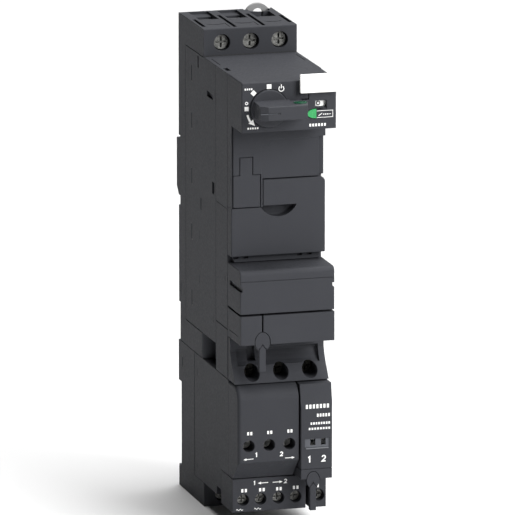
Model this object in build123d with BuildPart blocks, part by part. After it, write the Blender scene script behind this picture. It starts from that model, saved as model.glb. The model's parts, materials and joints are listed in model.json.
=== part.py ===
from build123d import *
import os

# Motor protection breaker, 45 mm wide, with plug-in modules and a reverser block under it.
# Depths are measured forward from the back plane and heights up from the base of the reverser
# block. The part's frame has +X to the right, -Y to the front and +Z up, with its origin on the
# back plane at the centre line of the mounting rail. Everything is in millimetres.

os.makedirs("parts", exist_ok=True)

# --- driving dimensions: the envelope and the levels that the pieces share ---
WIDTH = 45.0
HALF = WIDTH / 2
WALL = 2.0
INNER = HALF - WALL
RAIL_HEIGHT = 153.8  # centre line of the mounting rail

TOP = 228.3  # top of the line terminal block
ROOF = 215.3  # roof of the front half
KNOB_PANEL_BASE = 192.0
CENTRE_PANEL_BASE = 153.0
UNIT_BASE = 71.2  # underside of the breaker
BLOCK_TOP = 70.9  # top of the reverser block

BACK_WALL = 5.0
REAR_FRONT = 17.6  # front edge of the back moulding
TERMINAL_FRONT = 44.0  # front face of the line terminal block
SHELL_FRONT = 65.0  # front edge of the middle shell
FRAME_FRONT = 85.0  # plane where the front covers and modules begin
PANEL_FRONT = 91.5
KNOB_PANEL_FRONT = 109.0

SEAM = 0.4  # width and depth of the seam grooves
POCKET = 1.2  # depth of the latch pockets in the side faces
FIT = 0.3  # gap round a moving piece
EDGE = 0.6  # small moulded edge radius

# --- poles ---
POLE_PITCH = 13.9
POLE_SHIFT = 0.3
POLES = [POLE_SHIFT + n * POLE_PITCH for n in (-1, 0, 1)]

# --- mounting rail seat (35 mm top-hat rail) ---
RAIL_SIZE = 35.3
RAIL_RECESS = 2.6
RAIL_LIP = 1.4
RAIL_TOP = RAIL_HEIGHT + RAIL_SIZE / 2
RAIL_BOTTOM = RAIL_HEIGHT - RAIL_SIZE / 2
BOSS = (143.0, 168.0)
BOSS_REACH = 3.6

# --- line terminals ---
LINE_SCREW_HEIGHT = 221.5
WELL_RADIUS = 3.95
HEAD_RADIUS = 3.5
SHANK_RADIUS = 2.0
CELL_HALF = 4.7
CELL = (9.0, 21.3)  # depth span of a wire entry

# --- knob ---
KNOB_X = -9.6
KNOB_HEIGHT = 202.9
HUB_RADIUS = 8.8
HUB_FRONT = 110.2
ARM_BACK = 112.4
KNOB_FRONT = 122.0
POINTER_END = -7.4  # from the knob's axis
ARM_END = 17.6  # from the knob's axis
ARM_SLANT = 2.9  # how far the arm's end leans back to its front face
BAR_HALF_BACK = 3.9
BAR_HALF_FRONT = 3.3
SPINDLE_RADIUS = 2.5

# --- plug-in modules ---
UNIT_SPAN = (130.3, 152.8)
UNIT_SHOULDER = 166.1
UNIT_STEP_X = -7.3
FUNCTION_SPAN = (106.3, 126.6)
FUNCTION_FRONT = 106.7
CONNECTOR_SPAN = (91.7, 105.3)
CONNECTOR_FRONT = 107.1
PLUG_HALF = INNER - FIT
KEY_X = -12.0

# --- load terminals ---
LOAD_SCREW_HEIGHT = 75.6
LOAD_WELL_RADIUS = 3.65

# --- reverser block ---
BASE_FRONT = 26.8
BASE_TERMINAL = (43.7, 11.3)
BLOCK_FRONT = 86.2
COVER_FRONT = 102.8
COVER_SPLIT = 6.5
MODULE_LEFT = 7.4
MODULE_FRONT = 103.6
SMALL_WELL = 2.8
SMALL_HEAD = 2.45
SMALL_SHANK = 1.5
COVER_SCREWS = (-17.4, -7.6, 2.1)
COVER_SCREW_HEIGHT = 42.8
CONTROL_SCREWS = (-17.4, -9.0, -0.4, 7.9, 19.0)
CONTROL_SCREW_HEIGHT = 14.9
CONTROL_SPAN = (9.1, 25.1)
CONTROL_DEPTH = (73.5, 93.2)
MODULE_KEY_X = 13.3


def at(x, depth, height):
    """A point of the part's frame from its side offset, depth and height."""
    return (x, -depth, height - RAIL_HEIGHT)


def block(x, depth, height, mode=Mode.ADD):
    """A box in the open part, given by its (low, high) spans."""
    middle = [(low + high) / 2 for low, high in (x, depth, height)]
    with Locations(at(*middle)):
        Box(x[1] - x[0], depth[1] - depth[0], height[1] - height[0], mode=mode)


def cut(x, depth, height):
    """A box taken out of the open part."""
    block(x, depth, height, mode=Mode.SUBTRACT)


def rod(x, height, radius, depth, mode=Mode.ADD):
    """A round bar along the depth."""
    with Locations(Location(at(x, sum(depth) / 2, height), (90, 0, 0))):
        Cylinder(radius, depth[1] - depth[0], mode=mode)


def post(x, depth, radius, height, mode=Mode.ADD):
    """A round bar standing along the height."""
    with Locations(at(x, depth, sum(height) / 2)):
        Cylinder(radius, height[1] - height[0], mode=mode)


def axle(depth, height, radius, x, mode=Mode.ADD):
    """A round bar across the width."""
    with Locations(Location(at(sum(x) / 2, depth, height), (0, 90, 0))):
        Cylinder(radius, x[1] - x[0], mode=mode)


def outline(points, x, mode=Mode.ADD):
    """A side outline of (depth, height) corners, drawn out over a span of x."""
    with BuildSketch(Plane.YZ.offset(x[0])) as side:
        with BuildLine():
            Polyline([(-depth, height - RAIL_HEIGHT) for depth, height in points], close=True)
        make_face()
    extrude(side.sketch, amount=x[1] - x[0], mode=mode)


def front_oval(x, height, width, tall, depth, mode=Mode.ADD):
    """An upright oval seen from the front, drawn out over a span of depth."""
    with BuildSketch(Plane.XZ.offset(depth[0])) as face:
        with Locations((x, height - RAIL_HEIGHT)):
            Ellipse(width / 2, tall / 2)
    extrude(face.sketch, amount=depth[1] - depth[0], mode=mode)


def side_seam(depth, height):
    """A seam groove on both side faces: one span is a depth or height, the other a range."""
    for side in (-1, 1):
        x = sorted((side * (HALF - SEAM), side * (HALF + SEAM)))
        cut(x, depth, height)


def side_pocket(depth, height):
    """A deeper pocket in both side faces, leaving a thin wall."""
    for side in (-1, 1):
        cut(sorted((side * (HALF - POCKET), side * (HALF + 1))), depth, height)


def around(value):
    """The span of a seam groove centred on a level."""
    return (value - SEAM / 2, value + SEAM / 2)


def screw(x, height, head, head_radius, shank, shank_radius, cross=True):
    """A combination-head screw along the depth; the head's front is the end of its span."""
    rod(x, height, shank_radius, shank)
    rod(x, height, head_radius, head)
    slot_depth = (head[1] - (head[1] - head[0]) / 2, head[1] + SEAM)
    arm, half_slot = head_radius * 0.72, head_radius * 0.13
    cut((x - half_slot, x + half_slot), slot_depth, (height - arm, height + arm))
    if cross:
        cut((x - arm, x + arm), slot_depth, (height - half_slot, height + half_slot))


def cage(x, depth, height, wall, bar):
    """A clamp cage, open upwards and downwards, with room for a bar of current path."""
    block(x, depth, height)
    inside = (x[0] + wall, x[1] - wall)
    cut(inside, (bar, depth[1] - 2 * wall), (height[0] - wall, height[1] + wall))


def coil_spring(start, direction, coil_radius, wire_radius, length, turns):
    """A helical spring from a start point along a direction."""
    base = Plane(origin=start, z_dir=direction)
    helix = Helix(pitch=length / turns, height=length, radius=coil_radius, mode=Mode.PRIVATE)
    path = base.location * helix
    with BuildSketch(Plane(origin=path @ 0, z_dir=path % 0)) as wire:
        Circle(wire_radius)
    sweep(wire.sketch, path=path, is_frenet=True)


def arrow_groove(x, apex, reach, depth):
    """A pointed groove over a key's stem, open downwards, cut into its front face."""
    for side in (-1, 1):
        with BuildSketch(Plane.XZ.offset(depth + SEAM)) as face:
            with BuildLine():
                top = apex - RAIL_HEIGHT
                Polyline([(x, top), (x + side * reach, top - 1.5 * reach),
                          (x + side * reach, top - 1.5 * reach - SEAM), (x, top - 1.6 * SEAM)],
                         close=True)
            make_face()
        extrude(face.sketch, amount=-2 * SEAM, mode=Mode.SUBTRACT)


def save(builder, name):
    """Labels a finished piece and writes it to its own file."""
    builder.part.label = name
    export_step(builder.part, f"parts/{name}.step")


# --- back moulding: line terminal block on top, rail seat behind ---
LUG_X = 15.4
LUG_WIDTH = 13.0
LUG_DEPTH = (0.2, 2.2)
LUG_HOLE = 2.6
LUG_TOP = 230.9
LUG_HOLE_DROP = 4.9  # from the lug's end to its hole
LUG_LENGTH = 20.0
LUG_ACCESS = 5.2
CLIP_HALF = 9.0
CLIP_BASE = 104.0
CLIP_CHANNEL = 97.0
NECK_TOP = 83.5
SHELL_SEAM = 12.4
SCREW_POSTS = [(x, height) for x in (-19.6, 19.6) for height in (92.0, 205.0)]
POST_RADIUS = 2.4

with BuildPart() as rear_housing:
    block((-HALF, HALF), (0, REAR_FRONT), (UNIT_BASE, ROOF))
    block((-HALF, HALF), (0, TERMINAL_FRONT), (UNIT_BASE, NECK_TOP))
    fillet(rear_housing.edges().filter_by(Axis.Z).group_by(Axis.Y)[0], 4.0)
    block((-HALF, HALF), (0, TERMINAL_FRONT), (ROOF, TOP))
    fillet(rear_housing.edges().filter_by(Axis.X).sort_by(Axis.Z)[-2:], EDGE)
    cut((-INNER, INNER), (BACK_WALL, REAR_FRONT), (UNIT_BASE + WALL, 212.0))
    cut((-INNER, INNER), (REAR_FRONT, 40.0), (UNIT_BASE + WALL, NECK_TOP))
    # rail seat with its fixed upper lip, and the boss that enters the rail
    cut((-HALF, HALF), (RAIL_LIP, RAIL_RECESS), (RAIL_BOTTOM, RAIL_TOP))
    cut((-HALF, HALF), (-1, RAIL_LIP), (RAIL_BOTTOM, RAIL_TOP - 1.7))
    outline([(0, BOSS[0] - 2), (-BOSS_REACH, BOSS[0] + 1.6), (-BOSS_REACH, BOSS[1]),
             (RAIL_RECESS, BOSS[1]), (RAIL_RECESS, BOSS[0] - 2)], (-HALF, HALF))
    cut((-CLIP_HALF - FIT, CLIP_HALF + FIT), (-1, RAIL_RECESS), (CLIP_CHANNEL, RAIL_BOTTOM))
    cut((-HALF, HALF), (-1, 2.4), (UNIT_BASE, 89.6))
    for pole in POLES:
        # wire entry, its shallow shelf behind and the screw well in front
        cut((pole - CELL_HALF, pole + CELL_HALF), CELL, (205.0, TOP + 1))
        if pole != POLES[-1]:
            cut((pole - CELL_HALF, pole + CELL_HALF), (1.8, CELL[0]), (TOP - 1.2, TOP + 1))
        rod(pole, LINE_SCREW_HEIGHT, WELL_RADIUS, (30.0, TERMINAL_FRONT + 1), Mode.SUBTRACT)
        rod(pole, LINE_SCREW_HEIGHT, SHANK_RADIUS + FIT, (CELL[1] - 1, 31.0), Mode.SUBTRACT)
        with BuildSketch(Plane.XY.offset(TOP - RAIL_HEIGHT)) as lip:
            with BuildLine():
                ends = [(pole - CELL_HALF, -31.6), (pole + CELL_HALF, -31.6)]
                curve = ThreePointArc(ends[0], (pole, -35.2), ends[1])
                ThreePointArc(curve @ 0, (pole, -33.6), curve @ 1)
            make_face()
        extrude(lip.sketch, amount=-1.6, mode=Mode.SUBTRACT)
    # slots between the poles with a short groove beside each, and slots at both edges
    for n in (-1, 1):
        slot_x = POLE_SHIFT + n * POLE_PITCH / 2
        cut((slot_x - 0.8, slot_x + 0.8), (12.0, 42.0), (TOP - 5, TOP + 1))
        cut((slot_x - 2.6, slot_x - 2.2), (32.5, 41.0), (TOP - 0.6, TOP + 1))
        cut((slot_x - 2.6, slot_x - 2.2), (8.0, 22.0), (TOP - 0.6, TOP + 1))
        edge_x = POLE_SHIFT + n * POLE_PITCH * 1.5
        cut((edge_x - 0.8, edge_x + 0.8), (19.5, 38.0), (TOP - 5, TOP + 1))
    # guide and driver access of the upper lug
    guide = (LUG_X - LUG_WIDTH / 2 - FIT, LUG_X + LUG_WIDTH / 2 + FIT)
    cut(guide, (-1, LUG_DEPTH[1] + FIT), (LUG_TOP - LUG_LENGTH - 1, TOP + 1))
    post(LUG_X, 3.8, LUG_ACCESS, (TOP - 4.8, TOP + 1), Mode.SUBTRACT)
    for x, height in SCREW_POSTS:
        rod(x, height, POST_RADIUS, (BACK_WALL - 1, REAR_FRONT))
        rod(x, height, POST_RADIUS, (-1, 3.2), Mode.SUBTRACT)
        rod(x, height, 1.3, (0, REAR_FRONT + 1), Mode.SUBTRACT)
    side_seam(around(SHELL_SEAM), (NECK_TOP, ROOF))
    side_seam((SHELL_SEAM, REAR_FRONT), (ROOF - SEAM, ROOF))
    side_seam((SHELL_SEAM, TERMINAL_FRONT), (NECK_TOP - SEAM, NECK_TOP))
    side_seam((3.3, 4.0), (92.4, 99.3))
save(rear_housing, "rear_housing")

with BuildPart() as housing_screws:
    for x, height in SCREW_POSTS:
        screw(x, height, (1.0, 3.2), 2.2, (3.2, 32.0), 1.2, cross=False)
save(housing_screws, "housing_screws")

with BuildPart() as line_screws:
    for pole in POLES:
        screw(pole, LINE_SCREW_HEIGHT, (38.8, 41.6), HEAD_RADIUS, (17.4, 38.8), SHANK_RADIUS)
save(line_screws, "line_screws")

CAGE_HALF = 4.4
BAR = (10.4, 11.6)  # depth span of the line current bars
BAR_HALF = 2.8
with BuildPart() as line_clamps:
    for pole in POLES:
        span = (pole - CAGE_HALF, pole + CAGE_HALF)
        cage(span, (9.4, 21.0), (217.0, 226.0), 1.0, BAR[0])
        rod(pole, LINE_SCREW_HEIGHT, SHANK_RADIUS + 0.05, (17.0, 22.0), Mode.SUBTRACT)
save(line_clamps, "line_clamps")

TIP_HEIGHTS = (176.0, 152.0)  # of the line and load contact tips
TIP_FRONT = 21.2
with BuildPart() as line_contacts:
    for pole in POLES:
        span = (pole - BAR_HALF, pole + BAR_HALF)
        block(span, BAR, (TIP_HEIGHTS[0] - 0.6, 225.0))
        block(span, (BAR[1], 20.0), (TIP_HEIGHTS[0] - 0.6, TIP_HEIGHTS[0] + 0.6))
        block((pole - 2, pole + 2), (20.0, TIP_FRONT), (TIP_HEIGHTS[0] - 2.5, TIP_HEIGHTS[0] + 2.5))
save(line_contacts, "line_contacts")

COIL_HEIGHT = 112.0
COIL_SPAN = (26.0, 42.0)
with BuildPart() as load_contacts:
    for pole in POLES:
        span = (pole - BAR_HALF, pole + BAR_HALF)
        block(span, BAR, (COIL_HEIGHT + 8, TIP_HEIGHTS[1] + 0.6))
        block(span, (BAR[1], 20.0), (TIP_HEIGHTS[1] - 0.6, TIP_HEIGHTS[1] + 0.6))
        block((pole - 2, pole + 2), (20.0, TIP_FRONT), (TIP_HEIGHTS[1] - 2.5, TIP_HEIGHTS[1] + 2.5))
        block(span, (BAR[1], 29.0), (COIL_HEIGHT + 8, COIL_HEIGHT + 9.2))
        block(span, (27.8, 29.0), (COIL_HEIGHT + 5.2, COIL_HEIGHT + 8))
save(load_contacts, "load_contacts")

with BuildPart() as trip_coils:
    for pole in POLES:
        rod(pole, COIL_HEIGHT, 4.6, COIL_SPAN)
        for turn in range(6):
            start = COIL_SPAN[0] + 0.5 + turn * 2.6
            rod(pole, COIL_HEIGHT, 5.2, (start, start + 2.0))
        rod(pole, COIL_HEIGHT, 2.4, (COIL_SPAN[0] - 1, COIL_SPAN[1] + 1), Mode.SUBTRACT)
save(trip_coils, "trip_coils")

PLUNGER_HEAD = (46.0, 47.6)
with BuildPart() as trip_plungers:
    block((POLES[0], POLES[-1]), PLUNGER_HEAD, (COIL_HEIGHT - 1.6, COIL_HEIGHT + 1.6))
    for pole in POLES:
        rod(pole, COIL_HEIGHT, 2.1, (COIL_SPAN[0], PLUNGER_HEAD[0]))
        rod(pole, COIL_HEIGHT, 3.4, PLUNGER_HEAD)
save(trip_plungers, "trip_plungers")

LOAD_BAR = (86.6, 87.8)  # height span of the bars to the load clamps
with BuildPart() as load_bars:
    for pole in POLES:
        span = (pole - BAR_HALF, pole + BAR_HALF)
        block(span, (40.2, 41.4), (LOAD_BAR[1], COIL_HEIGHT - 5.2))
        block(span, (40.2, 70.2), LOAD_BAR)
        block(span, (69.0, 70.2), (72.4, LOAD_BAR[1]))
save(load_bars, "load_bars")

# --- contact carrier, bridges and springs ---
BRIDGE = (24.4, 25.6)
CARRIER = (27.5, 33.5)
ARM_X = (16.6, 18.6)
CROSSBAR = (63.4, 65.4)
with BuildPart() as contact_bridges:
    for pole in POLES:
        block((pole - 2.5, pole + 2.5), BRIDGE, (TIP_HEIGHTS[1] - 3, TIP_HEIGHTS[0] + 3))
        for height in TIP_HEIGHTS:
            block((pole - 2, pole + 2), (BRIDGE[0] - 1, BRIDGE[0]), (height - 2.5, height + 2.5))
save(contact_bridges, "contact_bridges")

CONTACT_MIDDLE = sum(TIP_HEIGHTS) / 2
with BuildPart() as contact_carrier:
    block((-ARM_X[1], ARM_X[1]), CARRIER, (146.0, 182.0))
    for pole in POLES:
        rod(pole, CONTACT_MIDDLE, 3.0, (CARRIER[0] - 1, 32.0), Mode.SUBTRACT)
        cut((pole - 2, pole + 2), (CARRIER[0] - 1, CARRIER[1] + 1), (172.0, 179.0))
        cut((pole - 2, pole + 2), (CARRIER[0] - 1, CARRIER[1] + 1), (149.0, 156.0))
    for side in (-1, 1):
        arm = sorted((side * ARM_X[0], side * ARM_X[1]))
        block(arm, (CARRIER[1], CROSSBAR[1]), (158.0, 170.0))
    block((-ARM_X[1], ARM_X[1]), CROSSBAR, (158.0, 170.0))
save(contact_carrier, "contact_carrier")

with BuildPart() as contact_springs:
    for pole in POLES:
        coil_spring(at(pole, 25.9, CONTACT_MIDDLE), (0, -1, 0), 2.0, 0.3, 5.6, 4)
save(contact_springs, "contact_springs")

# --- electromagnet: fixed core and coil, armature in front ---
CORE = (154.0, 174.0)
with BuildPart() as magnet_core:
    block((-15.5, 15.5), (38.0, 43.0), CORE)
    block((-4.0, 4.0), (43.0, 56.0), CORE)
    for side in (-1, 1):
        block(sorted((side * 12.2, side * 15.5)), (43.0, 56.0), CORE)
save(magnet_core, "magnet_core")

with BuildPart() as main_coil:
    block((-11.2, 11.2), (45.0, 54.2), (147.0, 181.0))
    fillet(main_coil.edges().filter_by(Axis.Y), 3.0)
    for flange in ((43.4, 45.0), (54.2, 55.8)):
        block((-11.8, 11.8), flange, (146.0, 182.0))
    cut((-4.0, 4.0), (43.0, 56.0), CORE)
save(main_coil, "main_coil")

with BuildPart() as armature:
    block((-15.5, 15.5), (59.0, CROSSBAR[0]), CORE)
    chamfer(armature.edges().filter_by(Axis.Z), 1.0)
save(armature, "armature")

with BuildPart() as arc_chutes:
    for pole in POLES:
        for plate in range(6):
            low = 185.0 + plate * 2.4
            block((pole - 5, pole + 5), (13.5, 30.0), (low, low + 1.0))
            cut((pole - 1.5, pole + 1.5), (22.0, 31.0), (low - 0.5, low + 1.5))
save(arc_chutes, "arc_chutes")

# --- trip bar across the poles, turning in the side walls ---
TRIP_AXIS = (53.0, 120.0)  # depth and height
with BuildPart() as trip_bar:
    axle(*TRIP_AXIS, 1.8, (-19.8, 19.8))
    axle(*TRIP_AXIS, 1.2, (-21.6, 21.6))
    for pole in POLES:
        block((pole - 3.0, pole + 3.0), (51.6, 52.8), (COIL_HEIGHT - 3, TRIP_AXIS[1]))
    block((-12.0, -8.0), (52.4, 53.6), (TRIP_AXIS[1], 138.0))
save(trip_bar, "trip_bar")

# --- middle shell ---
SHELL = (REAR_FRONT, SHELL_FRONT)
BOARD_HEIGHT = 136.0  # underside of the control unit's board
BOARD = 1.6
SOCKET_X = (-4.0, 15.0)
with BuildPart() as front_housing:
    block((-HALF, HALF), SHELL, (NECK_TOP, ROOF))
    cut((-INNER, INNER), (SHELL[0] - 1, SHELL[1] + 1), (NECK_TOP + WALL, ROOF - WALL))
    for x, height in SCREW_POSTS:
        rod(x, height, POST_RADIUS, (REAR_FRONT, 36.0))
        rod(x, height, 1.2, (REAR_FRONT - 1, 32.0), Mode.SUBTRACT)
    # shelves that hold the core, the trip coils and the arc plates
    for low, high in ((142.0, 144.5), (182.6, 184.6)):
        block((-INNER, INNER), (34.5, 60.0), (low, high))
    # ledge under the core, and the socket of the control unit's board
    block((-15.5, 15.5), (38.0, 43.0), (144.5, CORE[0]))
    block((SOCKET_X[0] - 1.7, SOCKET_X[1] + 1.7), (54.0, 62.0), (BOARD_HEIGHT - 3, 142.0))
    cut((SOCKET_X[0] - FIT, SOCKET_X[1] + FIT), (57.0, 63.0),
        (BOARD_HEIGHT - FIT, BOARD_HEIGHT + BOARD + FIT))
    block((-INNER, INNER), (26.0, 42.0), (104.4, 106.8))
    for pole in POLES:
        cut((pole - BAR_HALF - FIT, pole + BAR_HALF + FIT), (39.9, 43.0), (104.0, 107.0))
    axle(*TRIP_AXIS, 1.25, (-21.7, 21.7), Mode.SUBTRACT)
    side_seam((SHELL[1] - SEAM, SHELL[1] + 1), (NECK_TOP, ROOF))
    side_seam((SHELL[0], TERMINAL_FRONT), (ROOF - SEAM, ROOF + 1))
    # latch slots, short grooves and latch pockets of the side faces
    for height in (200.0, 177.4, 151.0, 124.4, 92.8):
        side_seam((22.4, 23.3), (height, height + 7.3))
    side_seam(around(60.3), (93.0, 95.4))
    side_seam(around(36.3), (106.2, 110.0))
    side_seam(around(36.3), (127.2, 131.2))
    side_seam(around(32.6), (180.9, 183.0))
    side_pocket((49.5, 59.6), (197.9, 200.5))
    side_pocket((58.4, 62.4), (153.6, 159.2))
    side_pocket((38.4, 39.6), (141.5, 147.4))
    side_pocket((33.4, 35.2), (208.4, 214.0))
    # slender marks on the roof
    cut((-20.6, -20.2), (50.0, 64.9), (ROOF - 0.3, ROOF + 1))
    cut((20.2, 20.6), (50.0, 64.9), (ROOF - 0.3, ROOF + 1))
save(front_housing, "front_housing")

# --- upper frame round the switch mechanism ---
FRAME = (SHELL_FRONT, FRAME_FRONT)
FRAME_BASE = 151.6
EDGE_GROOVE = (-22.15, -21.65)  # groove beside the centre panel
CONNECTOR_X = (EDGE_GROOVE[1], -8.7)
TAB_X = (-18.4, -12.4)
TAB_TOP = 176.6
PLUG_TOP = 168.2
with BuildPart() as mechanism_housing:
    block((-HALF, HALF), FRAME, (FRAME_BASE, ROOF))
    cut((-INNER, INNER), (FRAME[0] - 1, FRAME[1] + 1), (FRAME_BASE - 1, ROOF - WALL))
    block((-INNER, INNER), FRAME, (181.0, 183.0))
    side_seam((FRAME[1] - SEAM, FRAME[1] + 1), (FRAME_BASE, ROOF))
    cut((-21.2, -19.2), (72.0, 79.0), (ROOF - 1.2, ROOF + 1))
save(mechanism_housing, "mechanism_housing")

with BuildPart() as mechanism_frame:
    block((-19.4, 0.2), (67.0, 68.4), (185.0, 211.0))
    for x in (-19.4, -1.0):
        block((x, x + 1.2), (68.4, 83.0), (187.0, 211.0))
    block((-19.4, 0.2), (68.4, 83.0), (185.0, 186.2))
    rod(KNOB_X, KNOB_HEIGHT, SPINDLE_RADIUS + 0.05, (66.0, 69.0), Mode.SUBTRACT)
save(mechanism_frame, "mechanism_frame")

# --- knob, its spindle, cam and inlay ---
with BuildPart() as knob:
    rod(KNOB_X, KNOB_HEIGHT, HUB_RADIUS, (108.2, HUB_FRONT))
    fillet(knob.edges().sort_by(Axis.Y)[0], 0.5)
    bar_levels = [(HUB_FRONT - 0.6, BAR_HALF_BACK), (KNOB_FRONT, BAR_HALF_FRONT)]
    with BuildSketch(Plane.YZ.offset(KNOB_X + POINTER_END)) as bar_side:
        with BuildLine():
            (back, half_back), (front, half_front) = bar_levels
            axis_z = KNOB_HEIGHT - RAIL_HEIGHT
            Polyline([(-back, axis_z - half_back), (-front, axis_z - half_front),
                      (-front, axis_z + half_front), (-back, axis_z + half_back)], close=True)
        make_face()
    extrude(bar_side.sketch, amount=ARM_END - POINTER_END)
    # the arm stands clear of the panel beyond the hub
    cut((KNOB_X + HUB_RADIUS + 0.4, KNOB_X + ARM_END + 1), (108.0, ARM_BACK),
        (KNOB_HEIGHT - 5, KNOB_HEIGHT + 5))
    front_edges = knob.edges().filter_by(Axis.Z).group_by(Axis.Y)[0]
    chamfer(front_edges.sort_by(Axis.X)[0], 1.8, 3.6)
    # the arm's end slants back
    with BuildSketch(Plane.XY.offset(KNOB_HEIGHT - 5 - RAIL_HEIGHT)) as slant:
        with BuildLine():
            tip = KNOB_X + ARM_END
            Polyline([(tip - ARM_SLANT, -KNOB_FRONT - 0.1), (tip + 1, -KNOB_FRONT - 0.1),
                      (tip + 1, -ARM_BACK), (tip, -ARM_BACK)], close=True)
        make_face()
    extrude(slant.sketch, amount=10, mode=Mode.SUBTRACT)
    fillet(knob.edges().filter_by(Axis.X).group_by(Axis.Y)[0], 0.5)
    rod(KNOB_X, KNOB_HEIGHT, SPINDLE_RADIUS, (105.0, 109.5), Mode.SUBTRACT)
    # pointer line, and the pocket of the inlay in the upper slope
    cut((KNOB_X + POINTER_END + 1, KNOB_X + 1.8), (KNOB_FRONT - 0.3, KNOB_FRONT + 1),
        (KNOB_HEIGHT - 0.35, KNOB_HEIGHT + 0.35))
INLAY_X = KNOB_X + 12.6
INLAY_DEPTH = 117.0
with BuildPart() as inlay_shape:
    with BuildSketch(Plane.XY.offset(KNOB_HEIGHT + 2.4 - RAIL_HEIGHT)):
        with Locations((INLAY_X, -INLAY_DEPTH)):
            Ellipse(3.2, 1.9)
    extrude(amount=1.45)
with BuildPart() as knob_body:
    add(knob.part)
    add(inlay_shape.part, mode=Mode.SUBTRACT)
save(knob_body, "knob")
save(inlay_shape, "knob_inlay")

CAM = (72.0, 80.0)
with BuildPart() as knob_spindle:
    rod(KNOB_X, KNOB_HEIGHT, SPINDLE_RADIUS, (66.2, 109.5))
    rod(KNOB_X, KNOB_HEIGHT, 5.0, CAM)
    block((KNOB_X - 7.2, KNOB_X), CAM, (KNOB_HEIGHT - 1.7, KNOB_HEIGHT + 1.7))
save(knob_spindle, "knob_spindle")

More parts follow.
